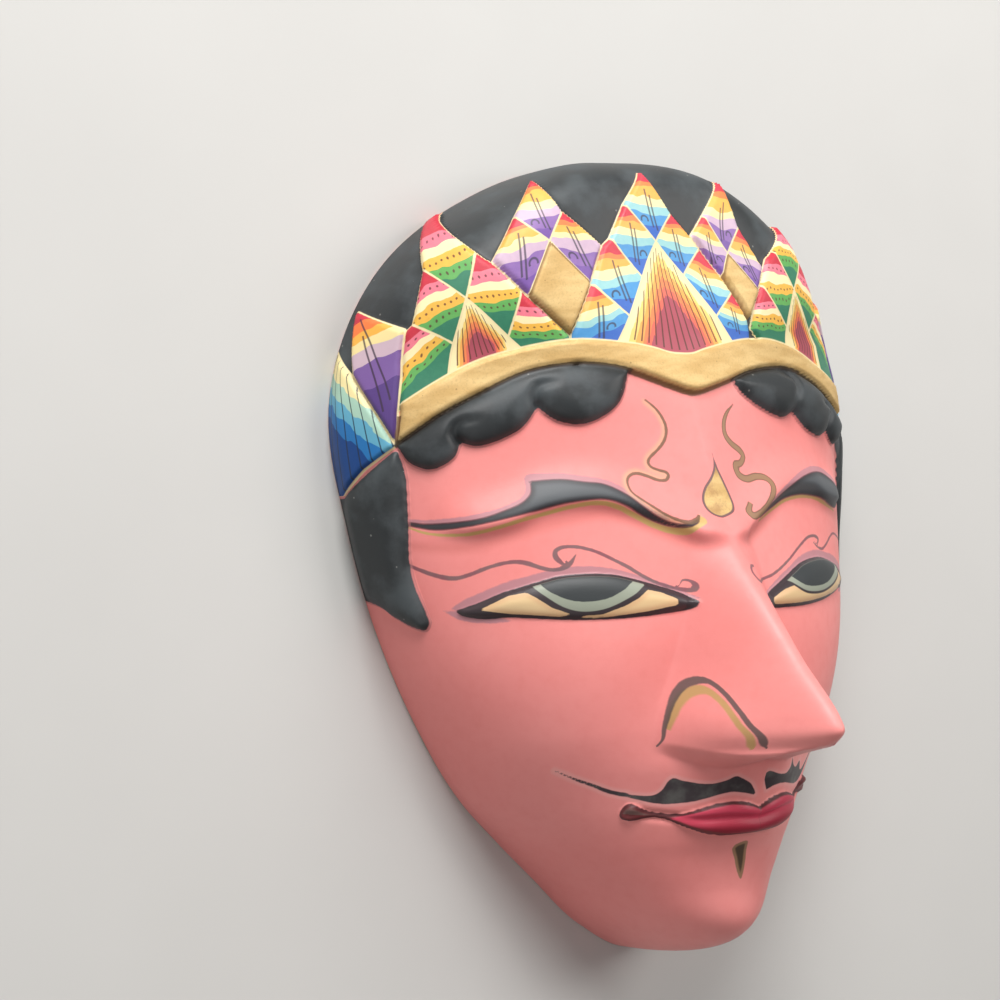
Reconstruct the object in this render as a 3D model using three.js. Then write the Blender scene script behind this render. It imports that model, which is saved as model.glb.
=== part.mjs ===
// A carved and painted wooden face mask, made to hang on a wall. One piece of wood: a long
// oval face with a blade nose, slit eyes, scalloped hair, a headband and a crown of diamonds,
// hollowed out behind. It lies face up on the flat rim of its hollow back.
//
// Millimetres. +X is to the right of someone who looks at the face, +Y is towards the crown,
// +Z comes out of the face. The origin is on the plane of the rim, at the middle of its box.
//
// The carving is laid out on a chart of the face: girth is the distance from the middle line,
// measured along the skin at one height, and y is the height. Both sides mirror each other.
import * as THREE from 'three';

// Driving dimensions
const maskHeight = 200;
const maskWidth = 154;
const foreheadRise = 49.4;
const noseTipRise = 87;
const noseHalfWidth = 21;
const noseRidgeRadius = 3;
const wall = 8;
const crownRelief = 1.5;
const bandRelief = 2.2;
const bandBevel = 1.4;
const hairRelief = 3.2;
const hairRound = 6;
const sideburnRelief = 2.6;
const sideburnRound = 5;
const browRelief = 2.4;
const browCrest = 3.2;
const browFallAbove = 6;
const browFallBelow = 2;
const lidRelief = 1.8;
const lidRound = 4.5;
const lipRelief = 2;
const lipRound = 2.6;
const lipGroove = 1.2;
const grooveReach = 1.1;

// The tables below are the carving's proportions, in units of its own chart, scaled to the sizes above.
// Rim: direction seen from the middle of the back, in degrees up from +X, and radius, brought to a width
const chartWidth = 154;
const rimRadii = [
  [-100, 93.2], [-90, 100], [-80, 93.2], [-70, 84], [-60, 78.2], [-50, 74.8], [-30, 69.8], [-10, 70],
  [10, 75.6], [30, 88], [50, 95.2], [70, 97.6], [90, 100], [110, 97.6],
];
// Rise of the middle line without nose and mouth, from chin to crown
const middleRise = [
  [-100, 65], [-80, 50.2], [-60, 42.5], [-40, 48.4], [-15, 51.9], [10, 49.4],
  [35, 43.8], [55, 38.8], [75, 36], [88, 40], [100, 52],
];
// How full each cross section is: 2 is round, more is boxy, less is ridged
const sectionPower = [
  [-100, 2.05], [-85, 2.02], [-45, 2.5], [0, 1.42], [36, 1.35], [52, 1.7], [74, 4.4], [100, 5.5],
];
const chinEndPower = 10.8;
const crownEndPower = 9.5;
// Scale of the chart along each axis
const halfHeight = middleRise[middleRise.length - 1][0];
const foreheadPlace = 10;
const tall = maskHeight / (2 * halfHeight);
const wide = maskWidth / chartWidth;
const deep = foreheadRise / through(middleRise, foreheadPlace);
// Rise of the nose ridge above the rim, and its half width as a share of the width at the wings
const ridgeRise = [
  [-46, 83], [-42.8, 87], [-39.6, 86], [-36, 83.4], [-31.8, 79.6], [-27.4, 75.6],
  [-20, 70], [-12.2, 64.2], [-4, 58], [3, 53.4], [10, 50.2],
];
const noseSpread = [[-50, 1], [-40, 0.96], [-25, 0.7], [-10, 0.46], [0, 0.36], [8, 0.26]];
const noseFlankPower = 1.25;
const noseUnderside = { inner: -50.5, edge: -43.4 };
const noseRoot = { top: 11, full: 3 };
const chartNoseTip = Math.max(...ridgeRise.map(([, rise]) => rise));
// Muzzle: how far mouth and chin stand out from the face, and over what half width
const muzzleRise = [
  [-98, 0], [-90, -1], [-80, -0.5], [-72, 4.5], [-68, 8.5], [-62, 12.4], [-56, 14.4],
  [-50, 15], [-42, 8], [-32, 2], [-25, 0],
];
const muzzleFalloff = 1.2;
const muzzleRimPower = 6;
const muzzleSpread = [[-98, 20], [-70, 24], [-60, 26], [-50, 24], [-30, 18], [-25, 16]];

// Outlines on the chart as [girth, y], for the side of positive girth
const bandTop = [
  [0, 47.8], [4, 48.3], [9, 50], [16, 51.6], [30, 53.2], [45.3, 51.4], [57, 48], [72.3, 40.5],
];
const bandBottom = [
  [0, 38.2], [2.5, 38.9], [9, 41.6], [15.5, 44.4], [22, 46.2], [30.3, 47],
  [41.5, 45.8], [53, 41.6], [62.4, 37.8], [69.3, 34.2], [75, 31],
];
const hairLocks = [
  [[16, 44.6], [18.6, 39], [22.5, 35.3], [29.5, 32.7], [36, 33.8], [40.5, 37.5]],
  [[40.5, 37.5], [44.8, 33], [50.4, 30.5], [56, 29.4], [60, 30.6]],
  [[60, 30.6], [62.2, 27], [67.6, 24.8], [72.3, 26.6], [74.4, 30.2]],
];
const crownZigzag = [
  [0, 94.3], [15.8, 75.4], [28.5, 93], [46.2, 73], [57, 85], [68.6, 58.4], [83, 64.2], [88.5, 54.6],
  [120, 54.6],
];
const crownFoot = [[120, 20.3], [92, 20.3], [75.2, 30.4]];
const sideburnInner = [
  [74.8, 29.6], [74.1, 23.8], [75, 16.5], [76.2, 9.2], [77.1, 3.8], [77, -1.7], [75.8, -7.3], [75, -11],
];
const sideburnOuter = [[75, -11], [76.6, -12.8], [80.2, -11.7], [84.4, -9.3], [92, -5.4], [120, -2]];
const sideburnTop = [[120, 19.8], [92, 19.8], [75.8, 29.8]];
const browEnd = { from: 58, to: 72 };
const browLine = [
  [5.5, 1], [8.2, 2.2], [20.1, 8.3], [30.1, 11.5], [42.3, 11.2], [51.1, 8.4], [62, 7.2], [74, 8.4],
];
const eyeUpper = [
  [10.6, -11.4], [13.8, -9.3], [20.1, -6.6], [26.1, -4.5], [34, -2.8], [42.4, -2.8], [51.8, -4.4],
  [61.2, -7], [68.1, -9],
];
const eyeLower = [
  [68.1, -9], [55.7, -11], [47.9, -12.4], [35.9, -14], [25.3, -13.5], [14.3, -12.8], [10.6, -11.4],
];
const lipUpper = [
  [0, -61.4], [3, -60], [6.8, -59], [10.6, -59.3], [14.7, -60.6], [18.5, -61.3], [23.1, -60.6],
  [27.8, -57.8],
];
const lipLower = [
  [28.4, -61.7], [24.4, -61.8], [20.5, -62.6], [16.7, -64.8], [11.3, -66.5], [5.5, -67.3], [0, -67.4],
];
const mouthLine = [[0, -63.4], [8, -62.4], [16, -62.6], [28, -60]];

// Grid spacing: knots of [y, step] for the rows and of [degrees round the section, step] for the columns
const rowSteps = [
  [-100, 1.2], [-95, 3.4], [-78, 3.8], [-68, 2.1], [-58, 2.2], [-50, 1.6], [-42, 1.7], [-36, 3.2],
  [-22, 4.5], [-14, 2.5], [-2, 2.5], [6, 2.5], [16, 2.9], [25, 2.1], [40, 2.1], [54, 2.7], [66, 3.6],
  [90, 3.4], [97, 2], [100, 1.2],
];
const columnSteps = [[0, 2.1], [14, 3.2], [34, 3.8], [60, 3.7], [90, 2.6]];
const hollowRows = 26;
const hollowColumns = 24;
const rimFade = 6;

// Smooth curve through knots of [place, value]: cubic pieces with averaged slopes, flat beyond the ends
function through(knots, place) {
  const last = knots.length - 1;
  const at = Math.min(Math.max(place, knots[0][0]), knots[last][0]);
  let i = 0;
  while (i < last - 1 && at >= knots[i + 1][0]) i += 1;
  const rise = (k) => (knots[k + 1][1] - knots[k][1]) / (knots[k + 1][0] - knots[k][0]);
  const span = (k) => knots[k + 1][0] - knots[k][0];
  const slope = (k) => {
    if (k === 0) return rise(0);
    if (k === last) return rise(last - 1);
    return (rise(k - 1) * span(k) + rise(k) * span(k - 1)) / (span(k) + span(k - 1));
  };
  const h = span(i);
  const s = (at - knots[i][0]) / h;
  const [a, b] = [knots[i][1], knots[i + 1][1]];
  return a * (1 + 2 * s) * (1 - s) ** 2 + slope(i) * h * s * (1 - s) ** 2
    + b * s * s * (3 - 2 * s) + slope(i + 1) * h * s * s * (s - 1);
}

function smoothStep(from, to, value) {
  return THREE.MathUtils.smoothstep(value, from, to);
}

// Points along a smooth line through hand-set [girth, y] points
function trace(points, perSpan = 3) {
  const line = new THREE.SplineCurve(points.map(([g, y]) => new THREE.Vector2(g, y)));
  return line.getPoints((points.length - 1) * perSpan);
}

function corners(points) {
  return points.map(([g, y]) => new THREE.Vector2(g, y));
}

// Rim
const rimSamples = 360;
const rim = Array.from({ length: rimSamples + 1 }, (_, i) => {
  const direction = -90 + (180 * i) / rimSamples;
  const radius = through(rimRadii, direction);
  const angle = THREE.MathUtils.degToRad(direction);
  return [radius * Math.sin(angle), Math.max(radius * Math.cos(angle), 0)];
});
const widest = Math.max(...rim.map(([, x]) => x));

function halfWidth(y) {
  let i = 0;
  while (i < rimSamples - 1 && rim[i + 1][0] < y) i += 1;
  const [[y0, x0], [y1, x1]] = [rim[i], rim[i + 1]];
  const share = THREE.MathUtils.clamp((y - y0) / (y1 - y0), 0, 1);
  return ((x0 + (x1 - x0) * share) * chartWidth) / 2 / widest;
}

// Rise of the plain oval, before nose, mouth and relief; u runs from -1 to 1 across the face
function ovalRise(u, y) {
  const endPower = y > 0 ? crownEndPower : chinEndPower;
  const ends = Math.sqrt(Math.max(1 - (Math.abs(y) / halfHeight) ** endPower, 0));
  const across = Math.sqrt(Math.max(1 - Math.abs(u) ** through(sectionPower, y), 0));
  return through(middleRise, y) * ends * across;
}

function muzzle(x, y) {
  const spread = through(muzzleSpread, y);
  return through(muzzleRise, y) * Math.exp(-muzzleFalloff * (x / spread) ** 2);
}

function nose(x, y) {
  const tipScale = noseTipRise / deep / chartNoseTip;
  const ridge = Math.max(through(ridgeRise, y) * tipScale - ovalRise(0, y) - muzzle(0, y), 0);
  const across = Math.hypot(x * wide, noseRidgeRadius) - noseRidgeRadius;
  const flank = across / (noseHalfWidth * through(noseSpread, y));
  const under = smoothStep(noseUnderside.inner, noseUnderside.edge, y);
  const root = 1 - smoothStep(noseRoot.full, noseRoot.top, y);
  return ridge * Math.max(1 - flank, 0) ** noseFlankPower * under * root;
}

// Distance from a chart point to a line, and the nearest point on it
function nearest(point, line) {
  const best = { distance: Infinity, foot: new THREE.Vector2() };
  const foot = new THREE.Vector2();
  for (let i = 0; i + 1 < line.length; i += 1) {
    const along = line[i + 1].clone().sub(line[i]);
    const share = THREE.MathUtils.clamp(point.clone().sub(line[i]).dot(along) / along.lengthSq(), 0, 1);
    foot.copy(line[i]).addScaledVector(along, share);
    const distance = foot.distanceTo(point);
    if (distance < best.distance) {
      best.distance = distance;
      best.foot.copy(foot);
    }
  }
  return best;
}

// How deep a chart point lies inside a closed outline, negative outside
function depthInside(point, outline) {
  let inside = false;
  for (let i = 0, j = outline.length - 1; i < outline.length; j = i, i += 1) {
    const [a, b] = [outline[i], outline[j]];
    if (a.y > point.y !== b.y > point.y) {
      const crossing = a.x + ((b.x - a.x) * (point.y - a.y)) / (b.y - a.y);
      if (point.x < crossing) inside = !inside;
    }
  }
  const { distance } = nearest(point, [...outline, outline[0]]);
  return inside ? distance : -distance;
}

const bandTopLine = trace(bandTop);
const bandBottomLine = trace(bandBottom);
const hairEdge = hairLocks.flatMap((lock) => trace(lock));
const band = [...corners([[-9, 50], [-9, 41.6]]), ...bandBottomLine, ...[...bandTopLine].reverse()];
const hair = [...hairEdge, ...[...bandBottomLine].reverse().filter((p) => p.x > hairLocks[0][0][0])];
const crown = [
  ...corners([[-15.8, 75.4]]), ...corners(crownZigzag), ...corners(crownFoot),
  ...[...bandTopLine].reverse(), ...corners([[-9, 50]]),
];
const sideburn = [...trace(sideburnInner), ...trace(sideburnOuter), ...corners(sideburnTop)];
const brow = trace(browLine);
const eye = [...trace(eyeUpper), ...trace(eyeLower)];
const lips = [
  ...trace(lipUpper), ...trace(lipLower),
  ...corners([[-5.5, -67.3], [-6.8, -59]]),
];
const mouth = trace(mouthLine);
const carvedEdges = [
  bandTopLine, bandBottomLine, hairEdge, trace(sideburnInner), trace(sideburnOuter), corners(crownZigzag),
  trace(eyeUpper), trace(eyeLower), trace(lipUpper), trace(lipLower), brow,
];

// A quarter round that climbs from 0 at the edge to 1 at the given distance inside it
function rounded(depth, reach) {
  const share = THREE.MathUtils.clamp(depth / reach, 0, 1);
  return Math.sqrt(1 - (1 - share) ** 2);
}

// The brow stands out above its crease and falls off gently towards the forehead
function browRidge(point) {
  const { foot } = nearest(point, brow);
  const above = (point.y - foot.y) * tall;
  const aside = (point.x - foot.x) * tall;
  const fall = above > browCrest ? browFallAbove : browFallBelow;
  const ends = 1 - smoothStep(browEnd.from, browEnd.to, point.x);
  return browRelief * ends * Math.exp(-(((above - browCrest) / fall) ** 2) - (aside / browFallAbove) ** 2);
}

// Carved relief along the skin's normal, at a chart point of the positive side
function relief(point) {
  const inside = (outline) => depthInside(point, outline) * tall;
  const fromMouth = nearest(point, mouth).distance * tall;
  let high = crownRelief * smoothStep(0, bandBevel, inside(crown));
  high = Math.max(high, bandRelief * smoothStep(0, bandBevel, inside(band)));
  high = Math.max(high, hairRelief * rounded(inside(hair), hairRound));
  high = Math.max(high, sideburnRelief * rounded(inside(sideburn), sideburnRound));
  high += browRidge(point);
  high += lidRelief * rounded(inside(eye), lidRound);
  high += lipRelief * rounded(inside(lips), lipRound);
  high -= lipGroove * Math.exp(-((fromMouth / grooveReach) ** 2));
  return high;
}

// Stations from the first knot to the last, spaced by the steps between them
function stations(knots) {
  const first = knots[0][0];
  const last = knots[knots.length - 1][0];
  const samples = 2000;
  const total = [0];
  for (let i = 1; i <= samples; i += 1) {
    const place = first + ((last - first) * (i - 0.5)) / samples;
    total.push(total[i - 1] + (last - first) / samples / through(knots, place));
  }
  const count = Math.round(total[samples]);
  const places = [];
  for (let k = 0, i = 0; k <= count; k += 1) {
    while (i < samples && total[i] < (total[samples] * k) / count) i += 1;
    places.push(first + ((last - first) * i) / samples);
  }
  return places;
}

// The face's skin: rows of points from chin to crown, each from rim to rim; end rows are one point
function faceRows() {
  const rows = stations(rowSteps);
  const oneSide = stations(columnSteps).map((degrees) => Math.sin(THREE.MathUtils.degToRad(degrees)));
  const middle = oneSide.length - 1;
  const turns = [...oneSide.slice(1).reverse().map((u) => -u), ...oneSide];
  const charted = rows.map((y) => {
    const across = turns.map((u) => ({ u, y, x: u * halfWidth(y), oval: ovalRise(u, y) }));
    across[middle].girth = 0;
    for (let i = middle + 1; i < turns.length; i += 1) {
      const step = Math.hypot(across[i].x - across[i - 1].x, across[i].oval - across[i - 1].oval);
      across[i].girth = across[i - 1].girth + step;
      across[turns.length - 1 - i].girth = -across[i].girth;
    }
    return across;
  });
  charted.forEach((across, r) => across.forEach((spot, c) => {
    if (r === 0 || r === rows.length - 1 || c === 0 || c === turns.length - 1) return;
    const side = spot.girth < 0 ? -1 : 1;
    const chart = new THREE.Vector2(Math.abs(spot.girth), spot.y);
    const columnStep = Math.abs(across[c + 1].girth - across[c - 1].girth) / 2;
    const rowStep = (rows[r + 1] - rows[r - 1]) / 2;
    for (const edge of carvedEdges) {
      const { distance, foot } = nearest(chart, edge);
      const away = foot.clone().sub(chart);
      const reach = (Math.abs(away.x) * columnStep + Math.abs(away.y) * rowStep) / (away.length() || 1) / 2;
      if (distance > 0 && distance < reach && c !== middle) {
        const skew = (across[c + 1].x - across[c - 1].x) / (across[c + 1].girth - across[c - 1].girth);
        spot.x += side * away.x * skew;
        spot.y = foot.y;
        chart.copy(foot);
        break;
      }
    }
    spot.chart = chart;
  }));
  return charted;
}

function skin() {
  const charted = faceRows();
  const points = charted.map((across) => across.map(({ x, y }) => {
    const u = THREE.MathUtils.clamp(x / Math.max(halfWidth(y), 1e-6), -1, 1);
    const rise = ovalRise(u, y) + muzzle(x, y) * (1 - Math.abs(u) ** muzzleRimPower) + nose(x, y);
    return new THREE.Vector3(x * wide, y * tall, rise * deep);
  }));
  const [last, right] = [points.length - 1, points[0].length - 1];
  return points.map((across, r) => across.map((point, c) => {
    if (r === 0 || r === last || c === 0 || c === right) return new THREE.Vector3(point.x, point.y, 0);
    const acrossSkin = across[c + 1].clone().sub(across[c - 1]);
    const upSkin = points[r + 1][c].clone().sub(points[r - 1][c]);
    const normal = acrossSkin.cross(upSkin).normalize();
    const fade = smoothStep(0, rimFade, point.z);
    return point.clone().addScaledVector(normal, relief(charted[r][c].chart) * fade);
  }));
}

// The hollow: the plain oval again, one wall's thickness inside the skin. Its share of the oval's
// rise leaves exactly one wall at the face's thinnest place.
function hollow() {
  const lowest = Math.min(...middleRise.map(([, rise]) => rise)) * deep;
  const hollowShare = (lowest - wall) / lowest;
  const [across, up] = [halfWidth(0) * wide, halfHeight * tall];
  const [inAcross, inUp] = [(across - wall) / across, (up - wall) / up];
  return Array.from({ length: hollowRows + 1 }, (_, r) => {
    const y = halfHeight * Math.sin(THREE.MathUtils.degToRad(-90 + (180 * r) / hollowRows));
    return Array.from({ length: hollowColumns + 1 }, (__, c) => {
      const u = Math.sin(THREE.MathUtils.degToRad(-90 + (180 * c) / hollowColumns));
      const onRim = r === 0 || r === hollowRows || c === 0 || c === hollowColumns;
      const rise = onRim ? 0 : ovalRise(u, y) * deep * hollowShare;
      return new THREE.Vector3(u * halfWidth(y) * wide * inAcross, y * tall * inUp, rise);
    });
  });
}

// Triangles of a rows-and-columns skin whose first and last rows are single points
function patch(rows, positions, faces, outward) {
  const top = rows.length - 1;
  const width = rows[0].length;
  const ids = rows.map((across, r) => {
    if (r === 0 || r === top) {
      positions.push(across[(width - 1) / 2]);
      return new Array(width).fill(positions.length - 1);
    }
    return across.map((point) => positions.push(point) - 1);
  });
  const face = (a, b, c) => {
    if (a !== b && b !== c && c !== a) faces.push(outward ? [a, b, c] : [a, c, b]);
  };
  for (let r = 0; r < top; r += 1) {
    for (let c = 0; c + 1 < width; c += 1) {
      const [a, b, d, e] = [ids[r][c], ids[r][c + 1], ids[r + 1][c], ids[r + 1][c + 1]];
      const cutsAtoE = positions[a].distanceTo(positions[e]) < positions[b].distanceTo(positions[d]);
      face(a, b, cutsAtoE ? e : d);
      face(cutsAtoE ? a : b, e, d);
    }
  }
  const rightSide = ids.slice(1, top).map((across) => across[width - 1]);
  const leftSide = ids.slice(1, top).map((across) => across[0]).reverse();
  return [ids[0][0], ...rightSide, ids[top][0], ...leftSide];
}

function maskGeometry() {
  const positions = [];
  const faces = [];
  const outerRim = patch(skin(), positions, faces, true);
  const innerRim = patch(hollow(), positions, faces, false);
  const flat = (id) => new THREE.Vector2(positions[id].x, positions[id].y);
  const ringIds = [...outerRim, ...innerRim];
  THREE.ShapeUtils.triangulateShape(outerRim.map(flat), [innerRim.map(flat)]).forEach((triple) => {
    const [a, b, c] = triple.map((i) => ringIds[i]);
    const turn = flat(b).sub(flat(a)).cross(flat(c).sub(flat(a)));
    faces.push(turn < 0 ? [a, b, c] : [a, c, b]);
  });
  const geometry = new THREE.BufferGeometry().setFromPoints(positions);
  geometry.setIndex(faces.flat());
  geometry.computeVertexNormals();
  return geometry;
}

const paintedWood = new THREE.MeshStandardMaterial({ color: 0xe98a85, roughness: 0.5, metalness: 0 });
const mask = new THREE.Mesh(maskGeometry(), paintedWood);
mask.name = 'mask';

const group = new THREE.Group();
group.add(mask);

export default group;
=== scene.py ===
"""Looks of a carved and painted wooden wall mask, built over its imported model.

Lengths in this file are millimetres until a mesh is made. +X is to the right of someone who
looks at the face, +Y is towards the crown and +Z comes out of the face. Painted and carved
outlines lie on a chart: girth is the distance from the middle line along the plain oval, and
y is the height. Outlines with positive girth are used on both sides unless a side is named.
"""
import math

import bpy
import numpy as np
from mathutils import Matrix, Vector


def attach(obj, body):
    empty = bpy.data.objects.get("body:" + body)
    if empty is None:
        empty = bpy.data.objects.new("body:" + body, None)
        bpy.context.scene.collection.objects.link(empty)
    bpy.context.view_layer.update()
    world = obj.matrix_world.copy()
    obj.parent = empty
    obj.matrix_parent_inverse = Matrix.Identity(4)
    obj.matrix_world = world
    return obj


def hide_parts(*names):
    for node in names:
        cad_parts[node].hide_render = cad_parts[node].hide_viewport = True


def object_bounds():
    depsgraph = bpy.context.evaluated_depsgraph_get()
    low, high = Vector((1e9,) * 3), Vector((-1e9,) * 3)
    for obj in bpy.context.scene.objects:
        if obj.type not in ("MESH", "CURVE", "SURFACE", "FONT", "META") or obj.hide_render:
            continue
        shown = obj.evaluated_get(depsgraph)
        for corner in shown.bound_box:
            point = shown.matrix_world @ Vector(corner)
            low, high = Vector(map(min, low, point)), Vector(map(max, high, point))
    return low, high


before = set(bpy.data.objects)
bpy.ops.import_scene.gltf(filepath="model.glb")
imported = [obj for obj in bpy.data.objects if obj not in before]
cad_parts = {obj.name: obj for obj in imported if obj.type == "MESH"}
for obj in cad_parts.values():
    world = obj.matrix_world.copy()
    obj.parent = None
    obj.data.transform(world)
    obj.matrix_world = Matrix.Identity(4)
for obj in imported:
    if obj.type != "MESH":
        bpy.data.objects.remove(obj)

MM = 0.001
cad_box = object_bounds()

# Camera, as the photograph was taken: metres and degrees, world to camera
LENS, SENSOR = 86.4, 36.0
CAMERA_TURN = {"yaw": 34.0, "pitch": -0.39, "roll": 4.74}
CAMERA_SHIFT = (0.02552, -0.01464, -0.61641)

# The carved form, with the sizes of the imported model
HALF_HEIGHT = 100.0
MASK_WIDTH = 154.0
WALL = 8.0
RIM_RADII = [
    (-100, 93.2), (-90, 100), (-80, 93.2), (-70, 84), (-60, 78.2), (-50, 74.8), (-30, 69.8), (-10, 70),
    (10, 75.6), (30, 88), (50, 95.2), (70, 97.6), (90, 100), (110, 97.6),
]
MIDDLE_RISE = [
    (-100, 65), (-80, 50.2), (-60, 42.5), (-40, 48.4), (-15, 51.9), (10, 49.4), (35, 43.8), (55, 38.8),
    (75, 36), (88, 40), (100, 52),
]
SECTION_POWER = [
    (-100, 2.05), (-85, 2.02), (-45, 2.5), (0, 1.42), (36, 1.35), (52, 1.7), (74, 4.4), (100, 5.5),
]
CHIN_END_POWER, CROWN_END_POWER = 10.8, 9.5
RIDGE_RISE = [
    (-46, 83), (-42.8, 87), (-39.6, 86), (-36, 83.4), (-31.8, 79.6), (-27.4, 75.6), (-20, 70),
    (-12.2, 64.2), (-4, 58), (3, 53.4), (10, 50.2),
]
NOSE_SPREAD = [(-50, 1), (-40, 0.96), (-25, 0.7), (-10, 0.46), (0, 0.36), (8, 0.26)]
NOSE_HALF_WIDTH, NOSE_RIDGE_RADIUS, NOSE_FLANK_POWER = 21.0, 3.0, 1.25
NOSE_EDGE = [(0, -45.5), (4, -46.4), (9, -47.5), (14, -46.9), (18, -45.5), (22, -43.7)]
NOSE_UNDERSIDE = [(0, 4.2), (9, 3.4), (22, 2.6)]
NOSE_WING = {"rise": 2.2, "x": 16.0, "y": -39.5, "wide": 5.0, "tall": 6.0}
NOSE_ROOT = (3.0, 11.0)
NOSE_UNDERSIDE_POWER = 1.15
MUZZLE_RISE = [
    (-98, 0), (-90, -1), (-80, -0.5), (-72, 4.5), (-68, 8.5), (-62, 12.4), (-56, 14.4), (-50, 15), (-42, 8),
    (-32, 2), (-25, 0),
]
MUZZLE_SPREAD = [(-98, 20), (-70, 24), (-60, 26), (-50, 24), (-30, 18), (-25, 16)]
MUZZLE_FALL, MUZZLE_EDGE_POWER = 1.2, 6

# Relief on the skin. Steps: rise, and depths inside the edge where it starts and ends. Cushions:
# rise and reach inside the edge. Grooves: fall and half width
STEPS = {"crown": (1.5, -0.1, 0.9), "gold": (0.45, 0.1, 0.8), "band": (2.2, -0.1, 1.0)}
CUSHIONS = {"hair": (3.2, 6.0), "sideburn": (2.6, 5.0), "eye": (1.8, 4.5), "lips": (2.0, 2.6)}
GROOVES = {"lock": (1.3, 1.1), "mouth": (1.2, 1.0)}
BROW = {
    "rise": 2.4, "above_crease": 3.2, "fall_up": 6.0, "fall_down": 2.0, "fall_inward": 6.0,
    "fades": (58, 72),
}
FLUSH_EYE_RIGHT, FLUSH_FROM_RIGHT = 0.75, (49, 57)

# Outlines on the chart
BAND_TOP = [(0, 47.8), (4, 48.3), (9, 50), (16, 51.6), (30, 53.2), (45.3, 51.4), (57, 48), (72.3, 40.5)]
BAND_BOTTOM = [
    (0, 38.2), (2.5, 38.9), (9, 41.6), (15.5, 44.4), (22, 46.2), (30.3, 47), (41.5, 45.8), (53, 41.6),
    (62.4, 37.8), (69.3, 34.2), (75, 31),
]
BAND_TOP_RIGHT = [
    (0, 47.8), (2.7, 47.9), (7.1, 49), (15.5, 50.6), (22.9, 51.5), (30.8, 51.6), (36.5, 50.9), (42.8, 49.6),
    (49.6, 47.5), (56, 45.2), (64, 42.6), (72.3, 40.2),
]
BAND_BOTTOM_RIGHT = [
    (0, 38.2), (2.8, 38.4), (8.8, 39.7), (15.9, 41.4), (21, 42.7), (26.1, 43.5), (31.3, 43.9), (36.7, 43.9),
    (42.4, 43.2), (48.5, 41.6), (55, 39.4), (61, 37), (67, 34.4), (75, 31),
]
# These two close the band and the lips past the middle line
BAND_MIDDLE = [(-9, 50), (-9, 41.6)]
LIP_MIDDLE = [(-5.5, -67), (-6.8, -59)]
HAIR_LOCKS = [
    [(16, 44.6), (18.6, 39), (22.5, 35.3), (29.5, 32.7), (36, 33.8), (40.5, 37.5)],
    [(40.5, 37.5), (44.8, 33), (50.4, 30.5), (56, 29.4), (60, 30.6)],
    [(60, 30.6), (62.2, 27), (67.6, 24.8), (72.3, 26.6), (74.4, 30.2)],
]
HAIR_LOCKS_RIGHT = [
    [(15.9, 41.4), (17.6, 38.4), (23.2, 35), (30.2, 32.4), (35.5, 31.6), (40.3, 33)],
    [(40.3, 33), (43.6, 30.4), (48, 28), (54.1, 26.5), (58, 27), (60.4, 28.6)],
    [(60.4, 28.6), (63, 26), (67.6, 24.2), (72.3, 25.8), (74.4, 30.2)],
]
LOCK_CREASES = [
    [(40.5, 37.2, 1.0), (41.2, 39.6, 1.2), (39.5, 42.0, 0.9), (35.5, 42.6, 0.2)],
    [(60, 30.2, 1.0), (61.2, 32.6, 1.2), (59.6, 34.8, 0.9), (55.4, 35.4, 0.2)],
]
SIDEBURN_INNER = [
    (74.8, 29.6), (74.1, 23.8), (75, 16.5), (76.2, 9.2), (77.1, 3.8), (77, -1.7), (75.8, -7.3), (75, -11),
]
SIDEBURN_OUTER = [(75, -11), (76.6, -12.8), (80.2, -11.7), (84.4, -9.3), (92, -5.4), (120, -2)]
SIDEBURN_TOP = [(120, 19.8), (92, 19.8), (75.8, 29.8)]
SIDEBURN_SHIFT_RIGHT = 3.0
BROW_CREASE = [
    (5.5, 1), (8.2, 2.2), (20.1, 8.3), (30.1, 11.5), (42.3, 11.2), (51.1, 8.4), (62, 7.2), (74, 8.4),
]
EYE_UPPER = [
    (10.6, -11.4), (13.8, -9.3), (20.1, -6.8), (25.6, -4.8), (30, -3.5), (36.1, -2.8), (42.3, -2.8),
    (48.1, -3.8), (51.8, -4.6), (56.9, -5.7), (61.6, -7.3), (67.8, -8.9),
]
EYE_LOWER = [
    (67.8, -8.9), (65.8, -10.1), (61, -11), (55.7, -11), (49.3, -11.8), (41.8, -12.7), (35.7, -13.2),
    (27.4, -13.5), (18.8, -13.3), (12.1, -12.8), (10.6, -11.4),
]
LIP_UPPER = [
    (0, -61.2), (3, -59.8), (6.8, -59), (10.4, -59.2), (14, -60.1), (16.8, -61), (19.2, -61.2),
    (21.8, -60.7), (24.2, -59.9), (25.6, -58.9), (27, -57.9), (28.3, -57.8), (29.5, -59.3),
]
LIP_LOWER = [
    (29.5, -59.3), (29.6, -60.8), (28.3, -61.7), (26.7, -61.8), (23.2, -61.6), (20.3, -62.3), (17.5, -63.7),
    (15, -64.9), (12.1, -66.2), (8.3, -67), (4.2, -67.2), (0, -67.3),
]
MOUTH_LINE = [(0, -63.4), (8, -62.4), (16, -62.3), (22, -61.2), (28, -60)]

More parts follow.
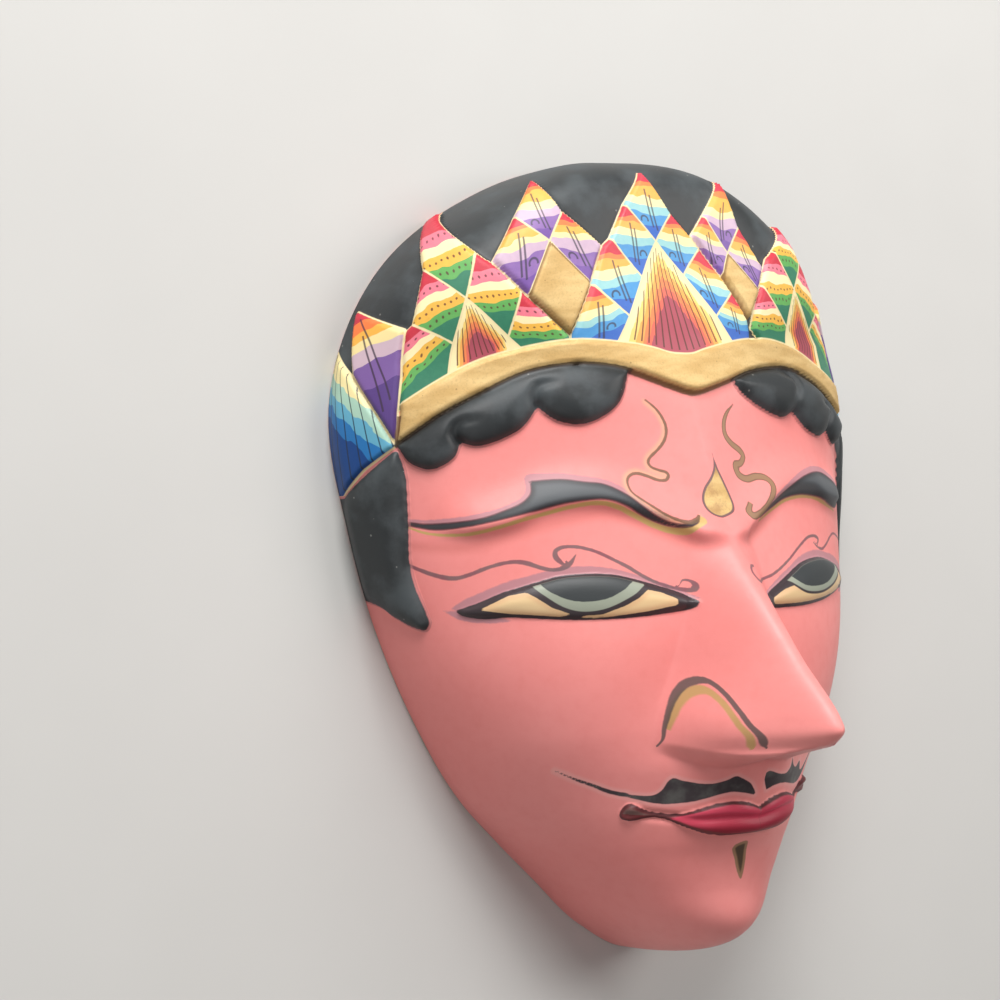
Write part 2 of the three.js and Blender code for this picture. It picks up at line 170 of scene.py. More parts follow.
# Crown: lattice corners as (steps outward, steps inward): (girth, y), for the near left side
# and the right side
BLUE_CORNERS = {
    (0, 0): (-1.4, 94), (1, 0): (-9.6, 85.5), (0, 1): (4.6, 83.6), (1, 1): (-1.6, 76.2),
    (2, 0): (-15.1, 77.2), (2, 1): (-7.4, 67.2), (3, 0): (-22.2, 65.8), (3, 1): (-13.6, 57.7),
    (0, 2): (11.1, 73.8), (1, 2): (5.3, 67.4), (0, 3): (18.7, 62.2), (1, 3): (12.8, 57),
    (4, 0): (-29.6, 54.1), (0, 4): (25.2, 54.4),
}
PURPLE_LEFT = {
    (0, 0): (31.2, 93.2), (1, 0): (39.5, 82.8), (0, 1): (27.2, 84), (1, 1): (32.3, 76.6),
    (2, 0): (46.9, 72.4), (2, 1): (39.4, 63.7), (0, 2): (17.4, 75.6), (1, 2): (22.5, 65.9),
    (2, 2): (29.6, 54.1),
}
PURPLE_RIGHT = {
    (0, 0): (23.2, 92.4), (1, 0): (25.8, 80.2), (0, 1): (14.6, 82.8), (1, 1): (20.7, 73.2),
    (2, 0): (32.9, 69.4), (2, 1): (29.6, 63.2), (0, 2): (9.9, 77.6), (1, 2): (17.8, 67),
    (2, 2): (24.6, 55.8),
}
GREEN_LEFT = {
    (0, 0): (60.6, 85.4), (1, 0): (63.4, 71.8), (0, 1): (50, 74.8), (1, 1): (54, 64.1),
    (2, 0): (67.4, 59.2), (2, 1): (57.9, 54), (0, 2): (41.4, 63.8), (1, 2): (45, 54.8),
    (3, 0): (72.2, 43), (0, 3): (29.8, 53.8),
}
BLUE_FOOT = [(25, 44), (-28, 44)]
GREEN_CROWN = [(59.8, 84.8), (62.4, 90), (66, 90), (65.2, 81), (63.6, 71.8)]
GREEN_FOOT = [(69, 57.9), (70.8, 47), (73.2, 39), (29.8, 44)]
GREEN_INNER = [(48.3, 73.4), (54.2, 79.2)]
GREEN_TOP_RIGHT = 85.6
GREEN_LEAN = {"above": 50.0, "over": 14.0, "by": 15.0, "drop": 4.4, "drop_above": 72.0, "drop_over": 8.7}
KITE = [(83.9, 64.4), (69, 58.2), (70.9, 47), (73.2, 39), (74.9, 31), (79, 40), (82.9, 48.7)]
KITE_LINES = [
    [(82, 64), (80, 60.2), (77.2, 55.2), (75.1, 48.3), (74.4, 43.8), (74.1, 36)],
    [(81, 62), (79, 55.8), (77.3, 49.1), (76.6, 43.1), (76.3, 35)],
]
CORNER = [
    (88.9, 54.8), (83.1, 48.5), (79, 39.8), (75, 30.9), (84, 26), (92, 20.2), (120, 20.2), (120, 54.8),
]
BIG_FAN = [
    (-1.6, 76.2), (5.3, 67.4), (12.8, 57), (15, 51.6), (26, 25), (-28, 25), (-16.2, 52.4), (-13.6, 57.7),
    (-7.4, 67.2),
]
SMALL_FAN = [
    (54, 64.1), (49.9, 59.2), (45, 54.8), (44.8, 51.5), (41, 38), (61, 38), (58.4, 49.3), (57.9, 54),
    (56, 58.9),
]

# Face painting: fills as outlines, strokes as (girth, y, half width)
BROW_LEFT = [
    (75.8, 12.9), (71.2, 12.1), (63.9, 11.9), (58.1, 12.2), (52.7, 13.5), (48.8, 14.8), (46.6, 16.3),
    (45.7, 17.7), (45.4, 19.9), (45.2, 20), (38.2, 19.8), (33, 18.7), (28.8, 17.9), (25.8, 16.4),
    (22.9, 14.3), (20.2, 11.7), (16.9, 9), (13.5, 7.2), (10.2, 6.6), (7, 7.3), (7.2, 6.4), (10.2, 5.9),
    (13.6, 6.6), (17.1, 8), (20.5, 9.9), (23.4, 11.9), (26.4, 13.4), (29.5, 14.2), (34, 14.3), (39.4, 13.9),
    (45.7, 12.8), (51.3, 11.9), (56.9, 11.1), (62.4, 10.6), (69.7, 10.6), (75.8, 12.1),
]
BROW_RIGHT = [
    (11.5, 7), (18.9, 9.7), (26.5, 12.5), (33.7, 15.1), (41.1, 16.6), (48, 17), (53, 16.4), (58, 14.6),
    (63, 12), (70, 10.4), (76.5, 9.6), (70, 8.6), (63, 7.6), (56, 8.4), (50, 10), (45.1, 11.1), (37, 11.8),
    (28.5, 11.2), (21.4, 9.3), (13.6, 6.8),
]
BROW_HALO_LEFT = [
    (75.8, 14), (71, 13.4), (63.8, 13.3), (57.9, 13.8), (52.6, 14.9), (48.6, 16.6), (47.1, 18.7),
    (46.5, 21.8), (42.1, 22), (37.8, 21.7), (33, 20.6), (28.4, 19.5), (24.6, 17.5), (21.4, 14.6),
    (18.4, 11.6), (14, 8.8), (14.6, 7.6), (20.5, 11), (29.5, 16), (39.4, 16), (50, 13), (62, 11),
    (75.8, 12.4),
]
BROW_HALO_RIGHT = [
    (15, 9), (23.2, 12.9), (29.4, 15.4), (36.6, 17.7), (45.2, 18.9), (53, 18.4), (59, 16.4), (66, 13),
    (76.5, 11), (66, 9.6), (52, 12), (41, 14), (28.5, 12.2), (17, 8.6),
]
GOLD_BROW_LEFT = [
    (75.8, 11.6, 0.25), (71.6, 9.9, 0.3), (66.2, 9, 0.35), (60.8, 8.9, 0.38), (55.3, 9.7, 0.4),
    (49.6, 10.9, 0.4), (44.1, 12, 0.4), (37, 13.2, 0.42), (30.6, 13.5, 0.45), (26.2, 12.3, 0.5),
    (22, 9.9, 0.55), (17.8, 7.4, 0.6), (13.6, 5.7, 0.7), (9.5, 5.2, 0.9), (6.4, 6.6, 1.2),
]
GOLD_BROW_RIGHT = [
    (14, 6.3, 0.3), (21.4, 8.7, 0.35), (28.5, 10.6, 0.4), (37, 11.3, 0.45), (45.1, 10.6, 0.4),
    (53, 8.6, 0.35), (62, 6.8, 0.2),
]
LID_HALO = [
    (70, -8.6), (66, -6.4), (60.8, -4.6), (54.4, -2.7), (47.7, -1.5), (42, -0.6), (35.8, -0.7),
    (29.7, -1.8), (23.8, -3.9), (17.7, -6.2), (13, -8.6), (10, -11), (20, -9), (40, -5), (60, -9),
]
LOWER_HALO = [(71.5, -8.4), (67, -11.2), (60, -12.4), (55, -12), (60, -10.5), (67, -9)]
WHITE_OUTER = [
    (61.7, -8.9), (58.4, -7.7), (55, -6.4), (50.9, -6), (48.7, -7.6), (45.5, -10.1), (41.6, -11.8),
    (44, -11.9), (49.3, -11.1), (55.6, -10.2),
]
CREASE_SHADE = [
    (75.9, 7.2, 0.7), (66.7, 6.1, 1.0), (61.3, 6.2, 1.1), (53.8, 7.6, 1.1), (46.3, 9.2, 1.1),
    (40, 10.3, 1.1), (30.1, 11.2, 1.1), (24, 9.8, 1.1), (18, 6.8, 1.1), (12, 3.8, 1.1), (8, 2, 0.8),
]
WHITE_INNER = [
    (39, -12.5), (34, -12.6), (28.6, -11.2), (25.2, -9.8), (22.3, -7.9), (19, -8.9), (15.6, -10.6),
    (15.6, -11.7), (23.1, -12.5), (31.6, -12.9), (36, -12.9),
]
WHITE_INNER_RIGHT = [
    (58, -8), (54, -7), (40, -8), (28.6, -9.5), (25.2, -9.6), (22.3, -8.8), (18, -9.4), (13.4, -11),
    (12, -11.8), (14.6, -12.5), (23.1, -13.3), (36, -14.5), (58, -14),
]
RING_RIGHT = [
    (53.2, -5.3), (51.4, -6.7), (46.5, -9.3), (41.1, -10.7), (35.2, -11.4), (28.9, -11.1), (25, -10.1),
    (21.7, -8.4), (19.2, -6.5), (24, -4.4), (30, -2.9), (36.1, -2.2), (42.3, -2.2), (48, -2.8),
]
IRIS_RIGHT = [
    (50.6, -4.8), (47, -6.7), (41, -8.9), (35.1, -9.6), (28.8, -9.3), (25, -8.1), (22.5, -6), (24, -4.6),
    (30, -2.9), (36.1, -2.2), (42.3, -2.2), (47.4, -3),
]
RING = [
    (50.2, -4.2), (49, -5.6), (47.1, -7.4), (43.5, -10.2), (39.7, -11.7), (35.6, -12), (31.4, -11.3),
    (26, -9.2), (23.6, -7.6), (22.2, -6.2), (25, -4.6), (30, -3.2), (36.1, -2.4), (42.3, -2.3), (47, -3.2),
]
IRIS = [
    (47.8, -3.6), (46.6, -5.1), (44.9, -6.6), (41.6, -8.4), (37.2, -9.3), (32.6, -9), (28.6, -7.5),
    (26.4, -6), (25.4, -4.8), (30, -3.2), (36.1, -2.4), (42.3, -2.3), (46, -3),
]
LID_CURLS = [
    [(77.3, 2.6, 0.4), (73.4, 0.7, 0.5), (69.9, -0.6, 0.55), (67.3, -1.1, 0.5), (64.3, -0.8, 0.45),
     (57.8, 1.0, 0.42), (52.9, 1.6, 0.45), (49.7, 1.1, 0.55), (46.7, -0.2, 0.5), (44, -1, 0.45),
     (41.6, -0.9, 0.45), (39.5, 0.1, 0.55), (38, 1.8, 0.12)],
    [(40.6, -0.3, 0.2), (41.7, 0.7, 0.55), (42.6, 2, 0.7), (42.3, 3.4, 0.5), (40.3, 4.1, 0.42),
     (36.9, 3.8, 0.4), (33.1, 2.5, 0.4), (29.4, 0.4, 0.42), (25.5, -2.1, 0.45), (21.8, -4.8, 0.42),
     (17.8, -6.9, 0.42), (13.9, -8.1, 0.45), (11, -8.6, 0.6), (10.3, -7.5, 0.6), (11.1, -6.4, 0.35),
     (12.8, -6.1, 0.25), (13.6, -6.9, 0.1)],
]
LID_CURLS_RIGHT = [
    [(4.6, -4.2, 0.3), (2.6, -4.2, 0.4), (1.4, -5.6, 0.45), (2.8, -7.6, 0.45), (7, -8.2, 0.4),
     (14.4, -7.4, 0.36), (19.1, -6.1, 0.36), (24.6, -4, 0.34), (31.1, -1.2, 0.34), (36.8, 0.8, 0.34),
     (41.2, 1.1, 0.38), (43.8, 0.2, 0.42), (42.6, -1.1, 0.2)],
    [(40.6, -0.8, 0.15), (43, -2, 0.3), (46, -2.4, 0.36), (50.2, -1.2, 0.34), (54.5, 0.4, 0.34),
     (58.5, 1, 0.3), (64.3, 0, 0.3), (70, -0.8, 0.35), (76.5, 1.8, 0.25)],
]
FOREHEAD_LEFT = [
    (-12.7, 37.2, 0.12), (-10.9, 35.4, 0.2), (-9.8, 33.6, 0.25), (-9.1, 31.4, 0.28), (-9.3, 29.2, 0.28),
    (-10.5, 27.1, 0.26), (-12.6, 25.2, 0.22), (-14.9, 23.6, 0.24), (-15.7, 22.3, 0.24), (-15, 21.1, 0.2),
    (-13.2, 20.3, 0.22), (-11.6, 19.7, 0.26), (-11.3, 18.7, 0.28), (-12.3, 17.8, 0.28), (-14.4, 18, 0.26),
    (-17, 19.2, 0.3), (-19.7, 20, 0.26), (-21.8, 19, 0.22), (-22.4, 17.1, 0.16), (-21.9, 15.1, 0.14),
    (-19.9, 13.2, 0.16), (-17.5, 11.2, 0.2), (-15, 9.3, 0.22), (-12.2, 7.8, 0.28), (-9.6, 7, 0.4),
    (-7.2, 7.4, 0.6), (-6.6, 8, 0.3),
]
FOREHEAD_RIGHT = [
    (13.2, 34.6, 0.12), (11, 33.1, 0.4), (9.1, 30.6, 0.6), (8.7, 27.8, 0.7), (10.3, 25.6, 0.75),
    (13, 23.8, 0.8), (13.9, 22.2, 0.75), (12.2, 20.6, 0.75), (10.1, 20.4, 0.85), (9.9, 19.1, 0.9),
    (10.6, 17.6, 0.9), (13, 16.6, 0.85), (16.6, 17, 0.85), (19.8, 16.3, 0.85), (21, 14.2, 0.85),
    (19.6, 11.8, 0.85), (16.5, 9.4, 0.8), (12.6, 7.6, 0.8), (9.8, 7.2, 0.8), (8.8, 8.4, 0.9),
    (9.8, 9.7, 0.6),
]
TEARDROP = [
    (2.3, 23.4), (2.2, 21.8), (1.4, 19.6), (-0.4, 17.4), (-2.6, 15.2), (-3.9, 12.6), (-3.7, 10.2),
    (-2.4, 8.3), (-0.4, 7.5), (2, 7.9), (3.9, 8.8), (5, 10.6), (4.9, 13.4), (4, 16.6), (2.9, 19.6),
]
# These lie on the nose: girth is measured along the whole skin, nose included
NOSE_ARC = [
    (44.4, -43.8, 0.35), (43.5, -40.8, 0.5), (39.7, -36.5, 0.6), (35.7, -33, 0.75), (31.6, -30.5, 0.85),
    (28, -29.6, 0.9), (25.4, -29.7, 0.8), (23.9, -31, 0.75), (22.9, -33.4, 0.75), (22.2, -37, 0.75),
    (21.2, -40.7, 0.8), (18.8, -43.4, 0.8), (17, -44.7, 0.6), (16.3, -45.3, 0.3),
]
NOSE_GOLD = [
    (41.8, -39.8, 0.7), (38.9, -37, 0.9), (34.9, -33.9, 1.0), (31.2, -32.2, 1.05), (28, -31.7, 1.1),
    (26.2, -32.6, 1.05), (25, -35, 0.95), (24.4, -38.4, 0.9), (23.6, -41, 0.9), (21.4, -43.7, 0.85),
    (19.9, -45, 0.7),
]
MOUSTACHE_LEFT = [
    (43.2, -49.2), (39.7, -50.8), (36.2, -52.2), (32.1, -54.3), (28.7, -55.3), (25.3, -56), (23.2, -56),
    (21.7, -54.9), (20.7, -52.8), (19.8, -52.2), (18, -53), (15, -53.9), (12.1, -54.3), (9.4, -53.8),
    (7.4, -53), (5.8, -53.7), (3.2, -55.3), (1.5, -58), (4.2, -57.4), (7.5, -56.8), (10.3, -57.1),
    (13, -57.8), (15.6, -58.3), (18.1, -58.4), (20.7, -58.4), (23.3, -57.9), (25.9, -57), (29.3, -55.8),
    (32.1, -54.8), (36.2, -52.6), (39.7, -51.2),
]
MOUSTACHE_TAIL = [
    (45.2, -48.4, 0.1), (42.6, -49.6, 0.2), (39.7, -51, 0.28), (36.2, -52.5, 0.35), (32.1, -54.5, 0.45),
    (28.7, -55.5, 0.5),
]
MOUSTACHE_RIGHT = [
    (1.8, -57.4), (0.3, -54.1), (1.3, -52.8), (5.6, -54), (9.4, -54.4), (11.6, -53.2), (12.1, -50.9),
    (13.4, -52.8), (16.5, -54), (20, -53), (22.4, -55.6), (28, -55), (36, -52), (28, -56.4), (22, -58),
    (17.4, -58.2), (13.7, -57.6), (9.6, -56.8), (6.6, -56.6), (3.8, -56.8),
]
RED_LIPS = [
    (0, -61.6), (3, -60.3), (6.8, -59.5), (10.4, -59.7), (14, -60.6), (17.6, -61.6), (20.4, -61.9),
    (17.8, -62.6), (15, -63.8), (11.4, -65.1), (7.6, -66), (3.5, -66.4), (0, -66.5),
]
GOATEE = [
    (-4.7, -71), (-4.1, -70), (-2, -69.4), (-0.8, -69.7), (-0.4, -71.4), (0, -74.3), (-0.2, -77.1),
    (-0.9, -79), (-2.1, -77), (-3.2, -73.9),
]
RIGHT_EYE_DROP, WHITE_INSET_RIGHT = 1.8, 0.75

# Paint colours, as seen: red, green and blue of 255. Pairs are for the right and left side
PINK, PINK_DEEP, PINK_PALE = (240, 140, 136), (228, 120, 114), (246, 152, 148)
CHARCOAL, CHARCOAL_DEEP, DUST = (68, 74, 77), (42, 46, 48), (150, 150, 146)
GOLD, GOLD_DARK, GOLD_PALE, GOLD_EDGE = (205, 168, 106), (140, 108, 62), (228, 196, 136), (120, 88, 50)
CREAM, LILAC, INK, BRUSHED = (240, 222, 172), (172, 126, 136), (56, 46, 50), (252, 240, 220)
# The last two are the brown line under the headband and the painted shadow that the band casts on the hair
HAIR_HALO, BAND_SEAM, BAND_SHADOW_ON_HAIR = (168, 108, 108), (120, 86, 56), (46, 38, 32)
DIAMOND_PEN, DOT_RED, FAN_PEN = (58, 54, 68), (86, 34, 40), (92, 50, 42)
KITE_PEN, CORNER_PEN = (60, 44, 62), (30, 44, 60)
CREASE_RED, BROW_DARK, BROW_GREY, BROW_EDGE = (196, 100, 92), (52, 50, 54), (80, 84, 88), (84, 48, 54)
BROW_GOLDS, CURL_BROWNS = ((186, 146, 92), (206, 170, 108)), ((142, 116, 82), (112, 84, 60))
CURL_EDGE, DROP_RIM, DROP_SHADE = (104, 66, 58), (116, 84, 84), (160, 112, 76)
LID_LINE, LID_LINE_GREY = (118, 74, 84), (112, 92, 94)
EYE_WHITE, WHITE_SHADE, EYE_RING, EYE_BLACK = (226, 194, 146), (206, 150, 112), (150, 156, 140), (48, 53, 55)
NOSE_GOLD_PAINT, NOSE_LINE = (196, 158, 100), (92, 78, 76)
WHISKER_BLOOM, WHISKER_GREY = (240, 180, 176), (84, 82, 80)
# The two lip reds are a lit and a shaded copy of one red: painted light and shade
LIP_SHADED_RED, LIP_LIT_RED, LIP_EDGE, LIP_KNOB = (146, 22, 44), (206, 62, 88), (84, 34, 38), (128, 46, 50)
LIP_GREY, GOATEE_EDGE, GOATEE_BROWN = (120, 104, 96), (142, 116, 82), (58, 46, 34)
WOOD_PALE, WOOD_RING, WOOD_GRAIN = (206, 172, 128), (176, 136, 92), (146, 108, 70)
WOOD_PORE, WOOD_STAIN = (104, 74, 46), (120, 90, 62)
FLOOR_PALE, FLOOR_DIM = (206, 205, 202), (200, 199, 196)
BLUE_STRIPES = [
    (0.0, (208, 58, 76)), (0.18, (246, 132, 76)), (0.25, (246, 176, 84)), (0.37, (250, 232, 172)),
    (0.49, (152, 205, 208)), (0.6, (78, 150, 208)), (0.76, (58, 104, 190)),
]
PURPLE_STRIPES = [
    (0.0, (206, 54, 72)), (0.17, (246, 128, 72)), (0.25, (246, 180, 84)), (0.39, (250, 230, 168)),
    (0.48, (206, 178, 200)), (0.61, (140, 106, 172)), (0.8, (118, 84, 160)),
]
GREEN_STRIPES = [
    (0.0, (200, 50, 68)), (0.2, (236, 122, 140)), (0.33, (250, 232, 180)), (0.44, (240, 182, 76)),
    (0.58, (96, 168, 88)), (0.7, (50, 122, 94)),
]
KITE_STRIPES = [
    (0.0, (196, 42, 62)), (0.2, (244, 122, 62)), (0.31, (240, 176, 72)), (0.39, (240, 220, 156)),
    (0.49, (204, 178, 190)), (0.64, (124, 92, 156)), (0.86, (90, 64, 130)),
]
FAN_STRIPES = [
    (0.0, (246, 230, 176)), (0.14, (244, 208, 118)), (0.25, (242, 168, 86)), (0.38, (238, 132, 82)),
    (0.49, (224, 106, 88)), (0.58, (172, 78, 92)),
]
CORNER_STRIPES = [
    (0.0, (244, 228, 168)), (0.27, (172, 208, 188)), (0.46, (100, 172, 200)), (0.64, (34, 116, 182)),
    (0.84, (12, 68, 136)),
]

# Groups of diamonds: stripes, number of the last cell, and how the stripes tilt, sag and squeeze
DIAMOND_GROUPS = {
    "green": {"stops": GREEN_STRIPES, "last": 2, "tilt": 0.02, "sag": 0.02, "squeeze": 0.36,
              "dots": ((0.27, 4.0), (0.51, 4.4), (0.64, 4.2))},
    "purple": {"stops": PURPLE_STRIPES, "last": 1, "sag": 0.04},
    "blue": {"stops": BLUE_STRIPES, "last": 3, "sag": 0.05, "squeeze": 0.25},
}
# Pen marks, in steps of a diamond: place across, top and bottom of a stroke, half width and soft
# edge of its line, and the millimetres that a step across and down is drawn with
PEN_STROKES = [(-0.05, 0.27, 0.8), (0.1, 0.34, 0.84)]
PEN_LINE, PEN_SLANT = (0.034, 0.014), 0.26
HOOK_PLACE, HOOK_END, HOOK_SCALE = (0.3, 0.7), 0.7194, (7.2, 18.0)
DOT_SCALE, DOT_RADIUS = (6.5, 17.0), 0.27

# Half widths of cream borders, the girth where the headband's ends, reach of the forehead's gold bloom and
# reach of the painted shade along the edges of the eye whites
BORDER, THIN_BORDER = 0.24, 0.22
CREAM_LINE_END = 72.5
BLOOM_REACH, WHITE_SHADE_REACH = 1.9, 1.5
# Roughness from the least to the most, and roughness and metal of thin paints
ROUGHNESS = {
    "pink": (0.4, 0.56), "charcoal": (0.46, 0.6), "gold": (0.5, 0.66), "wood": (0.62, 0.82),
    "floor": (0.5, 0.62),
}
GOLD_METAL, GOLD_INK, INK_ROUGH, EYE_GLOSS = 0.22, (0.45, 0.2), 0.5, 0.4
# Inputs and output of a Mix node for numbers and for colours
MIX_NUMBERS, MIX_COLOURS = (2, 3, 0), (6, 7, 2)

# Line between the crown's paints and the face's: along the band, then under the corner triangle
ZONE_SPLIT = [
    (0, 42.8), (4, 43.5), (9, 45.2), (16, 47), (30, 49), (45, 48), (57, 43.8), (70, 37), (75, 30.6),
    (92, 20.2), (120, 20.2),
]
# Line between the paints of the eyes and of the nose
NOSE_ZONE = -21.0

# Fans: point that their lines spread from, lines in a unit of slope, and millimetres from the
# edge that a step of colour takes. Between the girths of FANS_APART only their outlines count
BIG_RAYS = {"girth": -1.2, "top": 88.0, "count": 18.0, "deep": 13.0}
SMALL_RAYS = {"girth": 54.0, "top": 70.0, "count": 13.0, "deep": 6.2, "lean": 0.2, "lean_from": 64.1}
RAY_START = 4.0
FANS_APART = (18.0, 30.0)
# Steps of colour in a millimetre of girth and height, and millimetres in a step away from the
# corner's slanted edge and down
KITE_STRIPE_SLOPE = (0.0154, 0.0397)
CORNER_STRIPE_STEP = (20.0, 60.0)
CORNER_TOP, CORNER_RAY_TOP, CORNER_RAYS = 54.5, 84.0, 19.0

# Reach of the distances that are measured, and size of a diamond
FAR, EDGE_MARGIN = 9.0, 7.0
DIAMOND_WIDTH = 10.5


# Curves and distances on the chart

def along(knots, place):
    """Smooth curve through knots of (place, value): cubic pieces with averaged slopes."""
    spots, values = np.array(knots, float).T
    spans = np.diff(spots)
    rises = np.diff(values) / spans
    slopes = np.empty_like(values)
    slopes[0], slopes[-1] = rises[0], rises[-1]
    slopes[1:-1] = (rises[:-1] * spans[1:] + rises[1:] * spans[:-1]) / (spans[1:] + spans[:-1])
    place = np.clip(place, spots[0], spots[-1])
    i = np.clip(np.searchsorted(spots, place, side="right") - 1, 0, len(spots) - 2)
    s = (place - spots[i]) / spans[i]
    start, end = values[i], values[i + 1]
    return (start * (1 + 2 * s) * (1 - s) ** 2 + slopes[i] * spans[i] * s * (1 - s) ** 2
            + end * s * s * (3 - 2 * s) + slopes[i + 1] * spans[i] * s * s * (s - 1))


def smooth_step(start, end, value):
    share = np.clip((value - start) / (end - start), 0, 1)
    return share * share * (3 - 2 * share)


def smooth(points, per_span=5):
    """Points along a smooth line through given points of any number of columns."""
    knots = np.array([points[0], *points, points[-1]], float)
    pieces = []
    for a, b, c, d in zip(knots, knots[1:], knots[2:], knots[3:]):
        t = np.arange(per_span)[:, None] / per_span
        pieces.append(0.5 * (2 * b + (c - a) * t + (2 * a - 5 * b + 4 * c - d) * t ** 2
                             + (3 * b - a - 3 * c + d) * t ** 3))
    return np.vstack([*pieces, knots[-1:]])


def near(points, line, margin):
    low, high = line[:, :2].min(0) - margin, line[:, :2].max(0) + margin
    return np.all((points > low) & (points < high), axis=1)


def from_line(points, line):
    """Distance, signed distance and width at the nearest place of a line of (girth, y, width)."""
    distance = np.full(len(points), FAR)
    signed, width = distance.copy(), np.zeros(len(points))
    for start, end in zip(line, line[1:]):
        step = (end - start)[:2]
        length = math.hypot(*step)
        if length == 0:
            continue
        offset = points - start[:2]
        share = np.clip(offset @ step / length ** 2, 0, 1)
        gap = np.hypot(*(offset - share[:, None] * step).T)
        closer = gap < distance
        cross = (offset[:, 0] * step[1] - offset[:, 1] * step[0]) / length
        distance[closer] = gap[closer]
        signed[closer] = cross[closer]
        width[closer] = (start[2] + share * (end[2] - start[2]))[closer]
    return distance, signed, width


def widened(line):
    line = np.array(line, float)
    return line if line.shape[1] == 3 else np.column_stack([line, np.zeros(len(line))])


def depth(points, outline):
    """How deep chart points lie inside a closed outline, negative outside."""
    outline = np.array(outline, float)
    found = np.full(len(points), -FAR)
    close = near(points, outline, EDGE_MARGIN)
    spots = points[close]
    inside = np.zeros(len(spots), bool)
    for a, b in zip(outline, np.roll(outline, 1, axis=0)):
        if a[1] == b[1]:
            continue
        crosses = (a[1] > spots[:, 1]) != (b[1] > spots[:, 1])
        at = a[0] + (b[0] - a[0]) * (spots[:, 1] - a[1]) / (b[1] - a[1])
        inside ^= crosses & (spots[:, 0] < at)
    distance = from_line(spots, widened(np.vstack([outline, outline[:1]])))[0]
    found[close] = np.where(inside, distance, -distance)
    return found


def stroke(points, *lines):
    """Signed distance, distance and half width of the nearest of several painted strokes."""
    found = np.tile([FAR, FAR, 0.0], (len(points), 1))
    for line in lines:
        line = smooth(line)
        close = near(points, line, EDGE_MARGIN)
        distance, signed, width = from_line(points[close], line)
        old = found[close]
        new = np.column_stack([signed, distance, width])
        closer = distance - width < old[:, 1] - old[:, 2]
        found[close] = np.where(closer[:, None], new, old)
    return found


# The carved form

RIM_DIRECTIONS = np.linspace(-90, 90, 721)
RIM_X = along(RIM_RADII, RIM_DIRECTIONS) * np.cos(np.radians(RIM_DIRECTIONS))
RIM_X *= MASK_WIDTH / 2 / RIM_X.max()
RIM_Y = along(RIM_RADII, RIM_DIRECTIONS) * np.sin(np.radians(RIM_DIRECTIONS))


def half_width(y):
    return np.interp(y, RIM_Y, RIM_X)


def oval_rise(u, y):
    end_power = np.where(y > 0, CROWN_END_POWER, CHIN_END_POWER)
    ends = np.sqrt(np.clip(1 - (np.abs(y) / HALF_HEIGHT) ** end_power, 0, 1))
    across = np.sqrt(np.clip(1 - np.abs(u) ** along(SECTION_POWER, y), 0, 1))
    return along(MIDDLE_RISE, y) * ends * across


def muzzle(x, y):
    return along(MUZZLE_RISE, y) * np.exp(-MUZZLE_FALL * (x / along(MUZZLE_SPREAD, y)) ** 2)


def nose(x, y):
    ridge = np.maximum(along(RIDGE_RISE, y) - oval_rise(0 * x, y) - muzzle(0 * x, y), 0)
    across = np.hypot(x, NOSE_RIDGE_RADIUS) - NOSE_RIDGE_RADIUS
    flank = across / (NOSE_HALF_WIDTH * along(NOSE_SPREAD, y))
    aside = (np.abs(x) - NOSE_WING["x"]) / NOSE_WING["wide"]
    above = (y - NOSE_WING["y"]) / NOSE_WING["tall"]
    wing = NOSE_WING["rise"] * np.exp(-aside ** 2 - above ** 2)
    edge, run = along(NOSE_EDGE, np.abs(x)), along(NOSE_UNDERSIDE, np.abs(x))
    under = np.clip((y - edge + run) / run, 0, 1) ** NOSE_UNDERSIDE_POWER
    root = 1 - smooth_step(*NOSE_ROOT, y)
    return (ridge * np.clip(1 - flank, 0, 1) ** NOSE_FLANK_POWER + wing) * under * root


def stations(knots):
    """Places from the first knot to the last, spaced by the steps between them."""
    samples = 4000
    places = np.linspace(knots[0][0], knots[-1][0], samples + 1)
    steps = np.interp((places[1:] + places[:-1]) / 2, *np.array(knots, float).T)
    total = np.concatenate([[0], np.cumsum(np.diff(places) / steps)])
    count = int(round(total[-1]))
    return np.interp(np.linspace(0, total[-1], count + 1), total, places)


def girths(x, z):
    chords = np.hypot(np.diff(x, axis=1), np.diff(z, axis=1))
    total = np.concatenate([np.zeros((len(x), 1)), np.cumsum(chords, axis=1)], axis=1)
    return total - total[:, x.shape[1] // 2][:, None]


ROW_STEPS = [
    (-99.96, 0.3), (-96, 0.9), (-80, 1.05), (-72, 0.75), (-66, 0.5), (-46, 0.5), (-40, 0.6), (-26, 0.75),
    (-18, 0.5), (22, 0.5), (28, 0.56), (56, 0.58), (64, 0.64), (90, 0.64), (97, 0.5), (99.96, 0.25),
]
COLUMN_STEPS = [(0, 0.56), (14, 0.6), (34, 0.68), (60, 0.7), (90, 0.55)]
RIM_FADE = 6.0
RIM_ROUND = 0.45

row_places = stations(ROW_STEPS)
side_places = np.sin(np.radians(stations(COLUMN_STEPS)))
column_places = np.concatenate([-side_places[:0:-1], side_places])
U, Y = np.meshgrid(column_places, row_places)
X = U * half_width(Y)
OVAL = oval_rise(U, Y)
PLAIN = OVAL + muzzle(X, Y) * (1 - np.abs(U) ** MUZZLE_EDGE_POWER) + nose(X, Y)
GIRTH = girths(X, OVAL)
SKIN_GIRTH = girths(X, PLAIN)
signed_chart = np.column_stack([GIRTH.ravel(), Y.ravel()])
skin_chart = np.column_stack([SKIN_GIRTH.ravel(), Y.ravel()])
on_right = signed_chart[:, 0] > 0
chart = np.abs(signed_chart * [1, 0]) + signed_chart * [0, 1]
eye_chart = chart + np.outer(on_right, [0, RIGHT_EYE_DROP])


# Shapes of the crown

